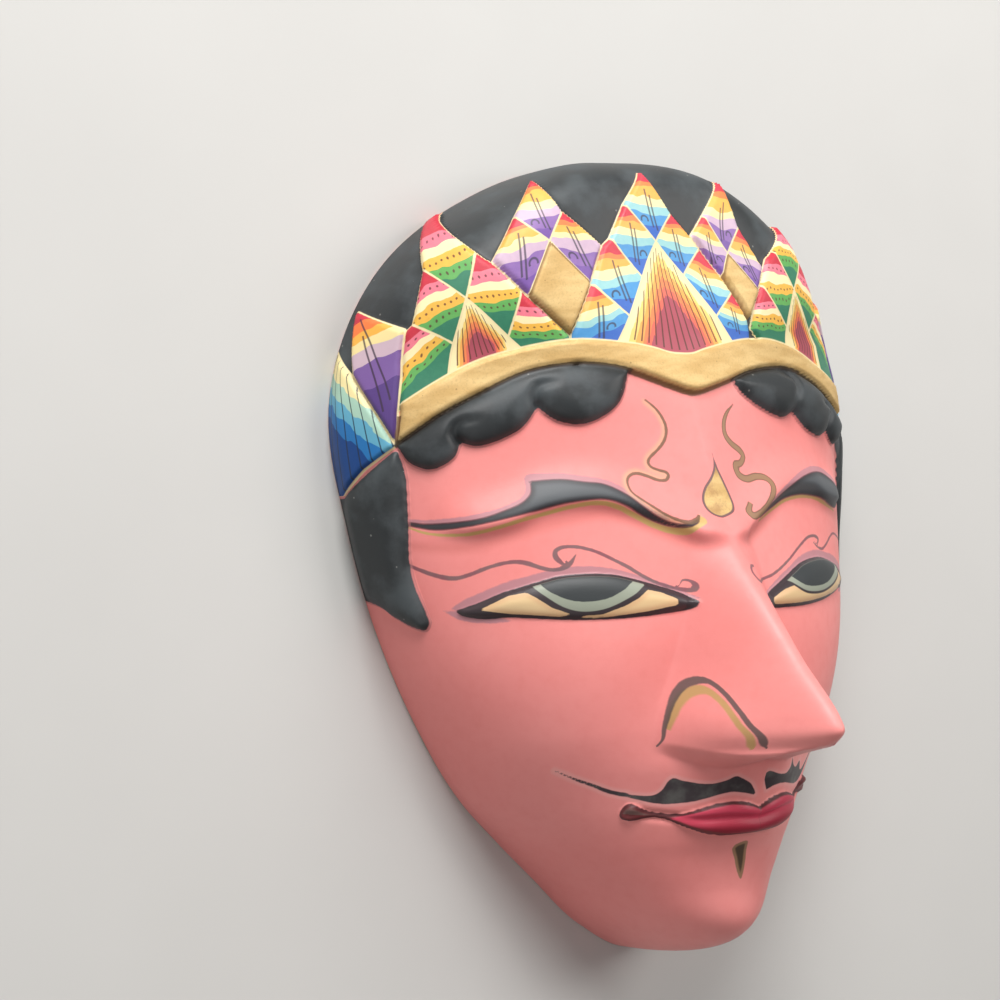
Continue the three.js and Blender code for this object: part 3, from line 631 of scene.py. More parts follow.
def leaning(points):
    """The green group leans inward on the right side, more towards the crown."""
    share = 1 - np.exp(-np.clip(points[:, 1] - GREEN_LEAN["above"], 0, None) / GREEN_LEAN["over"])
    drop = np.clip((points[:, 1] - GREEN_LEAN["drop_above"]) / GREEN_LEAN["drop_over"], 0, 1)
    shift = np.column_stack([share * GREEN_LEAN["by"], drop * GREEN_LEAN["drop"]])
    return points + shift * on_right[:, None]


def lattice(points, corners):
    """Steps outward and inward on a lattice of diamonds: exact at its corners, a thin plate between."""
    spots, steps = np.array(list(corners.values()), float), np.array(list(corners), float)
    count = len(spots)

    def bend(places):
        squares = ((places[:, None, :] - spots) ** 2).sum(2)
        return squares * np.log(np.maximum(squares, 1e-9))

    flat = np.column_stack([np.ones(count), spots])
    system = np.block([[bend(spots), flat], [flat.T, np.zeros((3, 3))]])
    weights = np.linalg.solve(system, np.vstack([steps, np.zeros((3, 2))]))
    return np.column_stack([bend(points), np.ones(len(points)), points]) @ weights


def blue_group():
    """Outline of the blue group in signed girth: it shares borders with the purple ones."""
    b, left, right = BLUE_CORNERS, PURPLE_LEFT, PURPLE_RIGHT
    right_border = [right[0, 2], right[1, 2], right[2, 2]]
    left_border = [(-girth, y) for girth, y in (left[2, 2], left[1, 2], left[0, 2])]
    return [b[0, 0], b[0, 1], *right_border, *BLUE_FOOT, *left_border, b[2, 0], b[1, 0]]


def purple_group(p):
    return [p[0, 0], p[1, 0], p[2, 0], p[2, 1], p[2, 2], p[1, 2], p[0, 2], p[0, 1]]


def gold_diamond(p):
    return [p[1, 1], p[2, 1], p[2, 2], p[1, 2]]


def green_group():
    """Outline of the green group: it shares a border with the purple one."""
    p = PURPLE_LEFT
    return [*GREEN_CROWN, GREEN_LEFT[2, 0], *GREEN_FOOT, p[2, 2], p[2, 1], p[2, 0], *GREEN_INNER]


def by_side(left, right):
    """Values of one array on the left half of the face and of another on the right half."""
    return np.where(on_right if left.ndim == 1 else on_right[:, None], right, left)


def depth_by_side(points, left, right, shape):
    """Depth inside an outline for each half, that a function shapes from points or corners."""
    return by_side(depth(points, shape(left)), depth(points, shape(right)))


green_chart = leaning(chart)
green_steps = lattice(green_chart, GREEN_LEFT)
blue_depth = depth(signed_chart, blue_group())
purple_depth = depth_by_side(chart, PURPLE_LEFT, PURPLE_RIGHT, purple_group)
gold_depth = depth_by_side(chart, PURPLE_LEFT, PURPLE_RIGHT, gold_diamond)
green_depth = depth(green_chart, green_group())
green_depth = by_side(green_depth, np.minimum(green_depth, GREEN_TOP_RIGHT - green_chart[:, 1]))
kite_depth = depth(green_chart, KITE)
corner_depth = depth(chart, CORNER)
blue_steps = lattice(signed_chart, BLUE_CORNERS)
big_fan_depth = depth(signed_chart, BIG_FAN)
small_fan_depth = depth(green_chart, SMALL_FAN)
coloured_depth = np.max([blue_depth, purple_depth, green_depth, kite_depth, corner_depth], axis=0)


def band_and_hair(top, bottom, locks):
    """Depth inside the headband and inside the curls below it, and the height above the band."""
    top, bottom = smooth(top), smooth(bottom)
    band = depth(chart, np.vstack([BAND_MIDDLE, bottom, top[::-1]]))
    base = [spot for spot in bottom[::-1] if spot[0] > locks[0][0][0]]
    hair = depth(chart, np.vstack([*[smooth(lock) for lock in locks], base]))
    above = chart[:, 1] - np.interp(chart[:, 0], *top.T)
    return np.column_stack([band, hair, above])


bands = by_side(band_and_hair(BAND_TOP, BAND_BOTTOM, HAIR_LOCKS),
                band_and_hair(BAND_TOP_RIGHT, BAND_BOTTOM_RIGHT, HAIR_LOCKS_RIGHT))
band_depth, hair_depth, band_rise = bands.T
sideburn_chart = chart - np.outer(on_right, [SIDEBURN_SHIFT_RIGHT, 0])
sideburn_outline = np.vstack([smooth(SIDEBURN_INNER), smooth(SIDEBURN_OUTER), SIDEBURN_TOP])
sideburn_depth = depth(sideburn_chart, sideburn_outline)
eye_depth = depth(eye_chart, np.vstack([smooth(EYE_UPPER), smooth(EYE_LOWER)]))
lips_outline = np.vstack([smooth(LIP_UPPER), smooth(LIP_LOWER), LIP_MIDDLE])
lips_depth = depth(chart, lips_outline)
mouth_line = from_line(chart, widened(smooth(MOUTH_LINE)))
crease = stroke(chart, *LOCK_CREASES)


def brow_ridge():
    """The brow stands out above its crease and falls off gently towards the forehead."""
    line = smooth(BROW_CREASE)
    foot = np.interp(chart[:, 0], line[:, 0], line[:, 1])
    above = chart[:, 1] - foot - BROW["above_crease"]
    fall = np.where(above > 0, BROW["fall_up"], BROW["fall_down"])
    aside = np.clip(line[0, 0] - chart[:, 0], 0, None) / BROW["fall_inward"]
    ends = 1 - smooth_step(*BROW["fades"], chart[:, 0])
    return BROW["rise"] * ends * np.exp(-(above / fall) ** 2 - aside ** 2)


def stepped(name, inside):
    rise, start, end = STEPS[name]
    return rise * smooth_step(start, end, inside)


def cushion(name, inside):
    """A quarter round that climbs from 0 at an edge to its rise at its reach inside it."""
    rise, reach = CUSHIONS[name]
    return rise * np.sqrt(1 - (1 - np.clip(inside / reach, 0, 1)) ** 2)


def groove(name, distance):
    fall, half = GROOVES[name]
    return fall * np.exp(-(distance / half) ** 2)


def relief():
    """Carved relief along the skin's normal."""
    crown = stepped("crown", coloured_depth) + stepped("gold", gold_depth)
    cut = groove("lock", crease[:, 1]) * np.clip(crease[:, 2], 0, 1) * (hair_depth > 0)
    hair = cushion("hair", hair_depth) - cut
    high = np.max([crown, stepped("band", band_depth), hair, cushion("sideburn", sideburn_depth)], axis=0)
    flush = FLUSH_EYE_RIGHT * on_right * smooth_step(*FLUSH_FROM_RIGHT, chart[:, 0])
    high = high + brow_ridge() + cushion("eye", eye_depth) * (1 - flush)
    return high + cushion("lips", lips_depth) - groove("mouth", mouth_line[0])


def grid_normals(points):
    across = np.gradient(points, axis=1)
    up = np.gradient(points, axis=0)
    normals = np.cross(across, up)
    return normals / np.maximum(np.linalg.norm(normals, axis=2, keepdims=True), 1e-9)


def face_points():
    points = np.stack([X, Y, PLAIN], axis=2)
    fade = smooth_step(0, RIM_FADE, PLAIN)
    points = points + grid_normals(points) * (relief().reshape(X.shape) * fade)[..., None]
    edge = border(X.shape)
    points[edge] = np.stack([X, Y, np.full(X.shape, RIM_ROUND)], axis=2)[edge]
    points[..., 0] = np.clip(points[..., 0], cad_box[0][0] / MM, cad_box[1][0] / MM)
    return points


def grid_faces(rows, columns, first=0):
    ids = np.arange(rows * columns).reshape(rows, columns) + first
    return np.stack([ids[:-1, :-1], ids[:-1, 1:], ids[1:, 1:], ids[1:, :-1]], axis=2).reshape(-1, 4)


def border(shape):
    """Marks the outermost points of a grid."""
    marks = np.ones(shape, bool)
    marks[1:-1, 1:-1] = False
    return marks


def loop_of(ids):
    """Numbers of a grid's outermost points, once round."""
    return np.concatenate([ids[0, :-1], ids[:-1, -1], ids[-1, :0:-1], ids[:0:-1, 0]])


def add_mesh(name, points, faces, attributes=None):
    mesh = bpy.data.meshes.new(name)
    mesh.from_pydata((np.asarray(points) * MM).tolist(), [], [list(map(int, face)) for face in faces])
    for key, values in (attributes or {}).items():
        layer = mesh.attributes.new(key, "FLOAT_VECTOR", "POINT")
        layer.data.foreach_set("vector", np.asarray(values, np.float32).ravel())
    mesh.polygons.foreach_set("use_smooth", [True] * len(mesh.polygons))
    mesh.update()
    piece = bpy.data.objects.new(name, mesh)
    bpy.context.scene.collection.objects.link(piece)
    return piece


def packed(*columns):
    columns = list(columns) + [np.zeros(len(columns[0]))] * (3 - len(columns))
    return np.column_stack(columns)


def rays(across, y, top):
    """Place across a fan that spreads from a point at the top, the same all along a line of it."""
    return across / np.maximum(top - y, RAY_START)


def fan_values():
    """Number of the fanned line, colour place from the slanted edges, and depth inside the outline."""
    small = green_chart[:, 0] > FANS_APART[1]
    girth, y = green_chart.T
    leaning_girth = girth - SMALL_RAYS["girth"] - (y - SMALL_RAYS["lean_from"]) * SMALL_RAYS["lean"]
    small_line = rays(leaning_girth, y, SMALL_RAYS["top"]) * SMALL_RAYS["count"]
    girth, y = signed_chart.T
    big_line = rays(girth - BIG_RAYS["girth"], y, BIG_RAYS["top"]) * BIG_RAYS["count"]
    line = np.where(small, small_line, big_line)
    place = np.where(small, small_fan_depth / SMALL_RAYS["deep"], big_fan_depth / BIG_RAYS["deep"])
    behind = np.where(small, green_steps.min(1) - 1, blue_steps.min(1) - 1) * DIAMOND_WIDTH
    apart = (chart[:, 0] > FANS_APART[1]) | (chart[:, 0] < FANS_APART[0])
    behind = np.where(apart, behind, -FAR)
    return packed(line, place, np.maximum(np.maximum(small_fan_depth, big_fan_depth), behind))


def kite_values():
    """Colour place down the kite and depth inside it, and signed distances from its pen lines."""
    offset = np.array(KITE[0]) - green_chart
    lines = [from_line(green_chart, widened(smooth(line)))[1] for line in KITE_LINES]
    return packed(offset @ KITE_STRIPE_SLOPE, kite_depth, gold_depth), packed(*lines)


def corner_values():
    """Colour place from the slanted edge and downwards, place across the rays, and depth inside."""
    start, end = np.array(CORNER[0]), np.array(CORNER[2])
    step = (end - start) / np.hypot(*(end - start))
    offset = chart - start
    away = offset[:, 1] * step[0] - offset[:, 0] * step[1]
    stripe = away / CORNER_STRIPE_STEP[0] + (CORNER_TOP - chart[:, 1]) / CORNER_STRIPE_STEP[1]
    return packed(stripe, rays(chart[:, 0] - CORNER_RAY_TOP, chart[:, 1], CORNER_RAY_TOP), corner_depth)


def eye_values():
    """Depths inside the eye's opening, grey ring and iris, then inside the lid's bloom and the white."""
    ring = depth_by_side(eye_chart, RING, RING_RIGHT, smooth)
    iris = depth_by_side(eye_chart, IRIS, IRIS_RIGHT, smooth)
    inner_right = np.minimum(depth(eye_chart, WHITE_INNER_RIGHT), eye_depth - WHITE_INSET_RIGHT)
    inner = by_side(depth(eye_chart, WHITE_INNER), inner_right)
    white = np.maximum(depth(eye_chart, WHITE_OUTER), inner)
    lid = np.maximum(depth(eye_chart, smooth(LID_HALO)), depth(eye_chart, smooth(LOWER_HALO)))
    return packed(eye_depth, ring, iris), packed(lid, white)


def whisker_values():
    """Depths inside the moustache, with its thin left tail, and inside the goatee."""
    moustache = depth_by_side(chart, MOUSTACHE_LEFT, MOUSTACHE_RIGHT, smooth)
    distance, width = stroke(chart, MOUSTACHE_TAIL).T[1:]
    moustache = np.maximum(moustache, np.where(on_right, -FAR, width - distance))
    return packed(moustache, depth(signed_chart, smooth(GOATEE)))


def face_attributes():
    """Three numbers for each point of the face, for its paints."""
    purple_steps = by_side(lattice(chart, PURPLE_LEFT), lattice(chart, PURPLE_RIGHT))
    kite, kite_lines = kite_values()
    eye, lid = eye_values()
    brow = depth_by_side(chart, BROW_LEFT, BROW_RIGHT, smooth)
    halo = depth_by_side(chart, BROW_HALO_LEFT, BROW_HALO_RIGHT, smooth)
    skin = np.abs(skin_chart * [1, 0]) + skin_chart * [0, 1]
    return {
        "chart": packed(*signed_chart.T),
        "ground": packed(hair_depth, sideburn_depth, band_depth),
        "crown": packed(coloured_depth, band_rise),
        "blue": packed(*blue_steps.T, blue_depth),
        "purple": packed(*purple_steps.T, purple_depth),
        "green": packed(*green_steps.T, green_depth),
        "kite": kite,
        "kite_lines": kite_lines,
        "corner": corner_values(),
        "fan": fan_values(),
        "crease": stroke(chart, CREASE_SHADE),
        "brow": packed(brow, halo, depth(signed_chart, smooth(TEARDROP))),
        "brow_gold": by_side(stroke(chart, GOLD_BROW_LEFT), stroke(chart, GOLD_BROW_RIGHT)),
        "curls": by_side(stroke(eye_chart, *LID_CURLS), stroke(chart, *LID_CURLS_RIGHT)),
        "forehead": by_side(stroke(signed_chart, FOREHEAD_LEFT), stroke(signed_chart, FOREHEAD_RIGHT)),
        "eye": eye,
        "lid": lid,
        "nose_arc": stroke(skin, NOSE_ARC),
        "nose_gold": stroke(skin, NOSE_GOLD),
        "mouth": packed(lips_depth, depth(chart, smooth(RED_LIPS)), mouth_line[1]),
        "whiskers": whisker_values(),
    }


# Shaders

def tone(colour):
    """Scene-linear colour of red, green and blue as seen, of 255."""
    shares = np.array(colour, float) / 255
    linear = np.where(shares <= 0.04045, shares / 12.92, ((shares + 0.055) / 1.055) ** 2.4)
    return (*linear.tolist(), 1.0)


def math_node(kind):
    """A method of Value that feeds it and other numbers to a new Math node."""
    def method(self, *others):
        return self.look.add("Math", dict(enumerate((self, *others))), operation=kind)
    return method


class Value:
    """An output of a shader node, with arithmetic that adds Math nodes."""

    __add__, __sub__, __mul__ = math_node("ADD"), math_node("SUBTRACT"), math_node("MULTIPLY")
    __mod__, fract, floor = math_node("MODULO"), math_node("FRACT"), math_node("FLOOR")
    least, most = math_node("MINIMUM"), math_node("MAXIMUM")
    under, over = math_node("LESS_THAN"), math_node("GREATER_THAN")
    size, root = math_node("ABSOLUTE"), math_node("SQRT")

    def __init__(self, look, socket):
        self.look, self.socket = look, socket

    def rest(self):
        """What the value leaves of 1."""
        return self * -1 + 1

    def ramp(self, start, end):
        """A smooth climb from 0 at the start to 1 at the end."""
        slots = {"Value": self, "From Min": start, "From Max": end}
        return self.look.add("MapRange", slots, "Result", interpolation_type="SMOOTHSTEP")

    def cover(self, soft=0.1):
        """1 inside an edge and 0 outside, with a narrow soft step."""
        return self.ramp(-soft, soft)

    def shaken(self, shake):
        return self + self.look.wobble() * shake if shake else self

    def filled(self, grow=0.0, soft=0.12, shake=0.0):
        """1 inside a painted edge: its depth grown by millimetres and drawn by an unsteady hand."""
        return (self + grow).shaken(shake).cover(soft)

    def line(self, half, soft=0.1, shake=0.0):
        """1 within a half width of where the value is 0."""
        return (self.size() * -1 + half).shaken(shake).cover(soft)


class Look:
    """A material whose colour, roughness and metal are laid in coats over each other."""

    def __init__(self, name):
        self.material = bpy.data.materials.new(name)
        self.material.use_nodes = True
        self.tree = self.material.node_tree
        self.shader = self.tree.nodes["Principled BSDF"]
        place = self.add("TexCoord", {}, "Object")
        self.place = self.add("VectorMath", {0: place, "Scale": 1 / MM}, operation="SCALE")
        self.colour, self.rough, self.metal = None, None, 0.0
        self.parts = {}

    def feed(self, slot, item):
        if isinstance(item, Value):
            self.tree.links.new(item.socket, slot)
        else:
            slot.default_value = tone(item) if slot.type == "RGBA" else item

    def add(self, kind, slots, output=0, **settings):
        """An output of a new node that has its settings made and its inputs fed."""
        node = self.tree.nodes.new("ShaderNode" + kind)
        for name, setting in settings.items():
            setattr(node, name, setting)
        for slot, item in slots.items():
            self.feed(node.inputs[slot], item)
        return Value(self, node.outputs[output])

    def stretched(self, factors):
        return self.add("VectorMath", {0: self.place, 1: factors}, operation="MULTIPLY")

    def combined(self, x, y):
        return self.add("CombineXYZ", {"X": x, "Y": y})

    def attribute(self, name):
        """The three columns of a mesh attribute."""
        if name not in self.parts:
            vector = self.add("Attribute", {}, "Vector", attribute_name=name)
            split = self.add("SeparateXYZ", {0: vector}).socket.node
            self.parts[name] = [Value(self, socket) for socket in split.outputs]
        return self.parts[name]

    def noise(self, size, detail=3.0, vector=None):
        """Noise from 0 to 1 whose lumps are about size millimetres."""
        slots = {"Vector": vector or self.place, "Scale": 1 / size, "Detail": detail, "Roughness": 0.55}
        return self.add("TexNoise", slots, "Fac")

    def speckle(self, size):
        """Distance to the nearest of scattered points, in their spacing."""
        return self.add("TexVoronoi", {"Vector": self.place, "Scale": 1 / size}, "Distance")

    def scatter(self, index):
        """A random share for each whole number."""
        return self.add("TexWhiteNoise", {"W": index}, "Value", noise_dimensions="1D")

    def mix(self, sockets, amount, below, above, **settings):
        first, second, output = sockets
        return self.add("Mix", {"Factor": amount, first: below, second: above}, output, **settings)

    def blend(self, amount, below, above, kind="MIX"):
        return self.mix(MIX_COLOURS, amount, below, above, data_type="RGBA", blend_type=kind)

    def between(self, amount, below, above):
        return self.mix(MIX_NUMBERS, amount, below, above)

    def stripes(self, place, stops):
        """Flat colours, each from its stop to the next."""
        striped = self.add("ValToRGB", {"Fac": place}, "Color")
        ramp = striped.socket.node.color_ramp
        ramp.interpolation = "CONSTANT"
        ramp.elements.remove(ramp.elements[1])
        ramp.elements[0].color = tone(stops[0][1])
        for at, colour in stops[1:]:
            ramp.elements.new(at).color = tone(colour)
        return striped

    def lay(self, amount, colour, rough=None, metal=None):
        self.colour = colour if self.colour is None else self.blend(amount, self.colour, colour)
        if rough is not None:
            self.rough = self.between(amount, self.rough, rough)
        if metal is not None:
            self.metal = self.between(amount, self.metal, metal)

    def ink(self, name, soft=0.12, wider=0.0):
        """1 on strokes whose attribute holds signed distance, distance and half width."""
        signed, distance, half = self.attribute(name)
        half = (half + wider).shaken(0.5)
        return (half - signed.size()).cover(soft) * distance.under(half + 0.4)

    def wobble(self):
        """A hand's unsteadiness, in millimetres either way."""
        if "wobble" not in self.parts:
            self.parts["wobble"] = (self.noise(1.6, 2.0) - 0.5) * 0.5
        return self.parts["wobble"]

    def finish(self, bump, strength, reach):
        """Feeds the coats to the shader, with a bump that reaches so many millimetres."""
        slots = {"Strength": strength, "Distance": reach * MM, "Height": bump}
        coats = {"Base Color": self.colour, "Roughness": self.rough, "Metallic": self.metal,
                 "Normal": self.add("Bump", slots)}
        for slot, coat in coats.items():
            self.feed(self.shader.inputs[slot], coat)
        return self.material


# Paints

def lay_pink(look):
    """Satin pink paint with soft clouds of deeper and paler pink."""
    clouds = look.noise(40, 1.0).ramp(0.3, 0.75)
    mottle = look.noise(3.2, 4.0)
    pink = look.blend(clouds, PINK, PINK_PALE)
    look.lay(1.0, look.blend((mottle - 0.45) * 0.6, pink, PINK_DEEP))
    look.rough = look.between(mottle, *ROUGHNESS["pink"])


def lay_charcoal(look, amount):
    """Black lacquer worn to a satin grey, with faint wiped patches and dust."""
    wiped = look.noise(12, 5.0).ramp(0.42, 0.68)
    colour = look.blend(wiped, CHARCOAL_DEEP, CHARCOAL)
    dust = look.speckle(4.4).under(0.06) * 0.5
    colour = look.blend(dust, colour, DUST)
    look.lay(amount, colour, look.between(wiped, *ROUGHNESS["charcoal"]))


def lay_gold(look, amount):
    """Bronze powder paint: darker brushed streaks, fine glittering grain and pits."""
    streaks = look.noise(5, 4.0, look.stretched((0.35, 1.6, 1.0)))
    grain = look.noise(0.5, 2.0)
    colour = look.blend(streaks.ramp(0.3, 0.75), GOLD, GOLD_PALE)
    colour = look.blend((grain - 0.5) * 0.9, colour, GOLD_DARK)
    pits = look.speckle(3.4).under(0.07) * 0.55
    colour = look.blend(pits, colour, GOLD_DARK)
    look.lay(amount, colour, look.between(grain, *ROUGHNESS["gold"]), GOLD_METAL)


def lay_ground(look):
    """Hair, sideburns and headband, with a dark line under the band: a brown brush line, which turns to
    painted shadow of the band where it lies over the hair.
    """
    hair, sideburn, band = look.attribute("ground")
    black = hair.most(sideburn).shaken(0.4)
    look.lay(black.filled(grow=0.5, soft=0.15) * 0.55, HAIR_HALO)
    lay_charcoal(look, black.cover(0.12))
    lay_gold(look, band.filled(shake=0.4))
    # Along the band's lower edge: a brown line, and painted shadow of the band where the hair lies under it
    seam = band.line(0.5, soft=0.2, shake=0.6) * look.attribute("crown")[1].under(-2.6)
    look.lay(seam * 0.9, look.blend(hair.filled(grow=0.9, soft=0.3), BAND_SEAM, BAND_SHADOW_ON_HAIR))


def bump_of(look):
    """Brush marks, fine grain and a few dents, as a height of about one."""
    brush = look.noise(2.6, 4.0, look.stretched((0.5, 1.5, 1.0)))
    fine = look.noise(0.45, 2.0)
    dents = look.speckle(17).ramp(0.0, 0.05)
    return brush * 0.6 + fine * 0.22 + dents * 0.5


# Crown

def from_middle(across, down, scale):
    """Distance from the middle of a pen mark, with steps of a diamond scaled to its size."""
    beside, above = across * scale[0], down * scale[1]
    return (beside * beside + above * above).root()


def pen_marks(across, down, side):
    """Two slanting pen strokes and a small hook beside them, for side 1 or -1 of a diamond."""
    slant = (down - 0.5) * PEN_SLANT * side
    aside, height = HOOK_PLACE
    ring = from_middle(across + side * aside, down - height, HOOK_SCALE) - 1.0
    marks = ring.line(BORDER) * down.under(HOOK_END)
    for place, top, bottom in PEN_STROKES:
        pen_stroke = (across - slant - place).line(*PEN_LINE)
        marks = marks.most(pen_stroke * down.over(top) * down.under(bottom))
    return marks


def dot_row(across, down, spacing):
    """A row of dots across a diamond, with so many dots in a step."""
    beside = (across * spacing + 0.5).fract() - 0.5
    width, height = DOT_SCALE
    return (from_middle(beside, down, (width / spacing, height)) * -1 + DOT_RADIUS).cover(0.08)


def cell_place(steps, last):
    """Place within a cell, nearness to a border shared with another cell, and the cell's number."""
    index = steps.most(0.0).least(last + 0.5).floor()
    place = steps - index
    upper_seam = place.size() + index.under(0.5)
    lower_seam = place.rest().size() + index.over(last - 0.5)
    return place, upper_seam.least(lower_seam), index


def lay_diamonds(look, name, stops, last, tilt=0.0, sag=0.0, squeeze=0.0, dots=()):
    """Diamonds of one group: wavy stripes, cream outlines, and rows of dots or else pen marks."""
    outward, inward, inside = look.attribute(name)
    p, p_seam, p_index = cell_place(outward, last)
    q, q_seam, q_index = cell_place(inward, last)
    across = q - p
    down = (p + q) * ((p_index + q_index).over(last - 0.5) * (squeeze / 2) + 0.5)
    wave = (look.noise(4.4, 0.6) - 0.5) * 0.15
    stripe = down + across * tilt + across * across * sag + wave
    amount = inside.filled(soft=0.1, shake=0.3)
    brushed = look.noise(1.3, 3.0).ramp(0.3, 0.75)
    look.lay(amount, look.blend(brushed * 0.18, look.stripes(stripe, stops), BRUSHED, "SOFT_LIGHT"))
    for level, spacing in dots:
        look.lay(amount * dot_row(across, stripe - level, spacing) * 0.85, DOT_RED)
    if not dots:
        side = ((outward.floor() + inward.floor() * 2) % 2.0 - 0.5) * -2
        look.lay(amount * pen_marks(across, down, side) * 0.8, DIAMOND_PEN)
    seam = (p_seam.least(q_seam) * -DIAMOND_WIDTH + THIN_BORDER).shaken(0.4).cover()
    look.lay(amount * seam.most(inside.line(THIN_BORDER, shake=0.4)), CREAM)


def lay_panel(look, inside, place, stops, lines, pen):
    """A striped panel with pen lines and a cream border."""
    amount = inside.cover()
    look.lay(amount, look.stripes(place.most(0.0), stops))
    look.lay(amount * lines, pen)
    look.lay(inside.line(BORDER), CREAM)


def lay_fans(look):
    """Striped triangles with flame edges and fine brown lines that fan out from the top."""
    number, place, inside = look.attribute("fan")
    streak = look.noise(1.0, 2.0, look.combined(number * 1.1, place * 0.4)) - 0.5
    number = number + 0.5
    start = look.scatter(number.floor()) * 0.16 + 0.02
    line = (number.fract() - 0.5).line(0.11, soft=0.035)
    shown = place.over(start) * look.attribute("crown")[1].over(0.8)
    lay_panel(look, inside, place + streak * 0.24, FAN_STRIPES, line * shown * 0.9, FAN_PEN)


def lay_kite(look):
    """The outermost diamond, long and bent, with two pen lines that run down it."""
    stripe, inside = look.attribute("kite")[:2]
    wave = (look.noise(5, 0.8) - 0.5) * 0.1
    first, second = look.attribute("kite_lines")[:2]
    first = first.line(BORDER) * stripe.over(0.17) * stripe.under(1.05)
    second = second.line(BORDER) * stripe.over(0.35) * stripe.under(1.12)
    lay_panel(look, inside, stripe + wave, KITE_STRIPES, first.most(second) * 0.85, KITE_PEN)


def lay_corner(look):
    """The triangle above the sideburn, with thin dark rays."""
    stripe, spread, inside = look.attribute("corner")
    wave = (look.noise(4, 1.2) - 0.5) * 0.22
    ray = ((spread * CORNER_RAYS + 0.5).fract() - 0.5).line(0.06, soft=0.025)
    lay_panel(look, inside, stripe + wave, CORNER_STRIPES, ray * 0.85, CORNER_PEN)


def crown_look():
    look = Look("crown_paint")
    lay_pink(look)
    above = look.attribute("crown")[1]
    lay_charcoal(look, above.cover(0.2))
    for name, group in DIAMOND_GROUPS.items():
        lay_diamonds(look, name, **group)
    gold = look.attribute("kite")[2]
    lay_gold(look, gold.cover())
    look.lay(gold.cover() * (gold * -1 + 0.5).cover(0.3) * 0.75, GOLD_EDGE)
    lay_fans(look)
    lay_kite(look)
    lay_corner(look)
    lay_ground(look)
    girth = look.attribute("chart")[0].size()
    look.lay(above.line(THIN_BORDER, soft=0.12) * girth.under(CREAM_LINE_END) * 0.85, CREAM)
    return look.finish(bump_of(look), 0.25, 0.25)


# Brows, forehead and eyes

def lay_brow_bloom(look, left):
    """Shade in the brow's crease, lilac bloom round the brows and gold bloom at the left curl."""
    crease = look.attribute("crease")
    look.lay((crease[1] - crease[2]).ramp(1.6, -1.2) * 0.4, CREASE_RED)
    look.lay(look.attribute("brow")[1].filled(grow=-0.3, soft=0.25, shake=1.0) * 0.8, LILAC)
    signed, distance = look.attribute("forehead")[:2]
    shine = (distance * -1 + BLOOM_REACH).ramp(0.0, BLOOM_REACH) * left * 0.5
    look.lay(shine * signed.ramp(-0.4, 0.8), GOLD_PALE)


def lay_brows(look, left):
    """Dark grey brows with a gold line along their lower side."""
    brow = look.attribute("brow")[0]
    look.lay(look.ink("brow_gold", soft=0.2), look.blend(left, *BROW_GOLDS), *GOLD_INK)
    body = look.blend(brow.filled(grow=-0.9, soft=0.8), BROW_DARK, BROW_GREY)
    look.lay(brow.filled(soft=0.14, shake=0.5), body, INK_ROUGH)
    look.lay(brow.line(0.2, soft=0.12) * 0.7, BROW_EDGE)


def lay_forehead(look, left):
    """The thin curl on the left and the wide, outlined one on the right."""
    signed, distance, half = look.attribute("forehead")
    look.lay(look.ink("forehead", soft=0.16, wider=0.12) * 0.9, look.blend(left, *CURL_BROWNS))
    outside, inside = signed.size() * -1 + half + 0.12, signed.size() - half + 0.2
    outline = outside.cover(0.12) * inside.cover(0.12) * left.rest() * distance.under(1.3)
    look.lay(outline * 0.6, CURL_EDGE)


def lay_drop(look):
    """The gold drop between the brows, with a dark rim."""
    drop = look.attribute("brow")[2]
    look.lay(drop.filled(grow=0.1), DROP_RIM)
    lay_gold(look, drop.filled(grow=-0.55, soft=0.14))
    worn = look.noise(4, 3.0).ramp(0.4, 0.7)
    look.lay(drop.filled(grow=-0.5, soft=0.3) * worn * 0.5, DROP_SHADE)


def lay_eyes(look):
    """Lilac lids with their curls, and slit eyes: white, grey ring and black iris."""
    lid, white = look.attribute("lid")[:2]
    look.lay(lid.filled(grow=-0.1, soft=0.25, shake=1.0) * 0.8, LILAC)
    curl = look.blend(look.noise(7, 2.0).ramp(0.4, 0.6), LID_LINE, LID_LINE_GREY)
    look.lay(look.ink("curls", soft=0.16) * 0.9, curl)
    eye, ring, iris = look.attribute("eye")
    opening = eye.filled(grow=0.25, soft=0.14, shake=0.4)
    look.lay(opening, INK, EYE_GLOSS)
    look.lay(opening * white.filled(grow=0.15, shake=0.4), EYE_WHITE)
    # The whites darken towards their edges: painted shade
    shade = (white * -1 + WHITE_SHADE_REACH).ramp(0.0, WHITE_SHADE_REACH) * white.filled(grow=0.1, soft=0.2)
    look.lay(opening * shade * 0.4, WHITE_SHADE)
    inside = eye.filled(grow=-0.55, soft=0.14, shake=0.3)
    look.lay(inside * ring.filled(grow=0.1), INK)
    look.lay(inside * ring.filled(grow=-0.5), EYE_RING)
    look.lay(inside * iris.filled(shake=0.4), EYE_BLACK, INK_ROUGH)


def upper_look():
    look = Look("brow_and_eye_paint")
    lay_pink(look)
    left = look.attribute("chart")[0].under(0.0)
    lay_brow_bloom(look, left)
    lay_brows(look, left)
    lay_forehead(look, left)
    lay_drop(look)
    lay_eyes(look)
    lay_ground(look)
    return look.finish(bump_of(look), 0.22, 0.22)


# Nose and mouth

def lay_nose(look):
    look.lay(look.ink("nose_gold", soft=0.35) * 0.9, NOSE_GOLD_PAINT, *GOLD_INK)
    look.lay(look.ink("nose_arc", soft=0.2) * 0.92, NOSE_LINE, INK_ROUGH)


def lay_whiskers(look):
    whisker = look.attribute("whiskers")[0]
    look.lay((whisker + 0.7).ramp(-0.5, 0.4) * 0.4, WHISKER_BLOOM)
    hair = look.blend(look.noise(5, 3.0).ramp(0.4, 0.7), INK, WHISKER_GREY)
    look.lay(whisker.filled(soft=0.14, shake=0.4), hair)


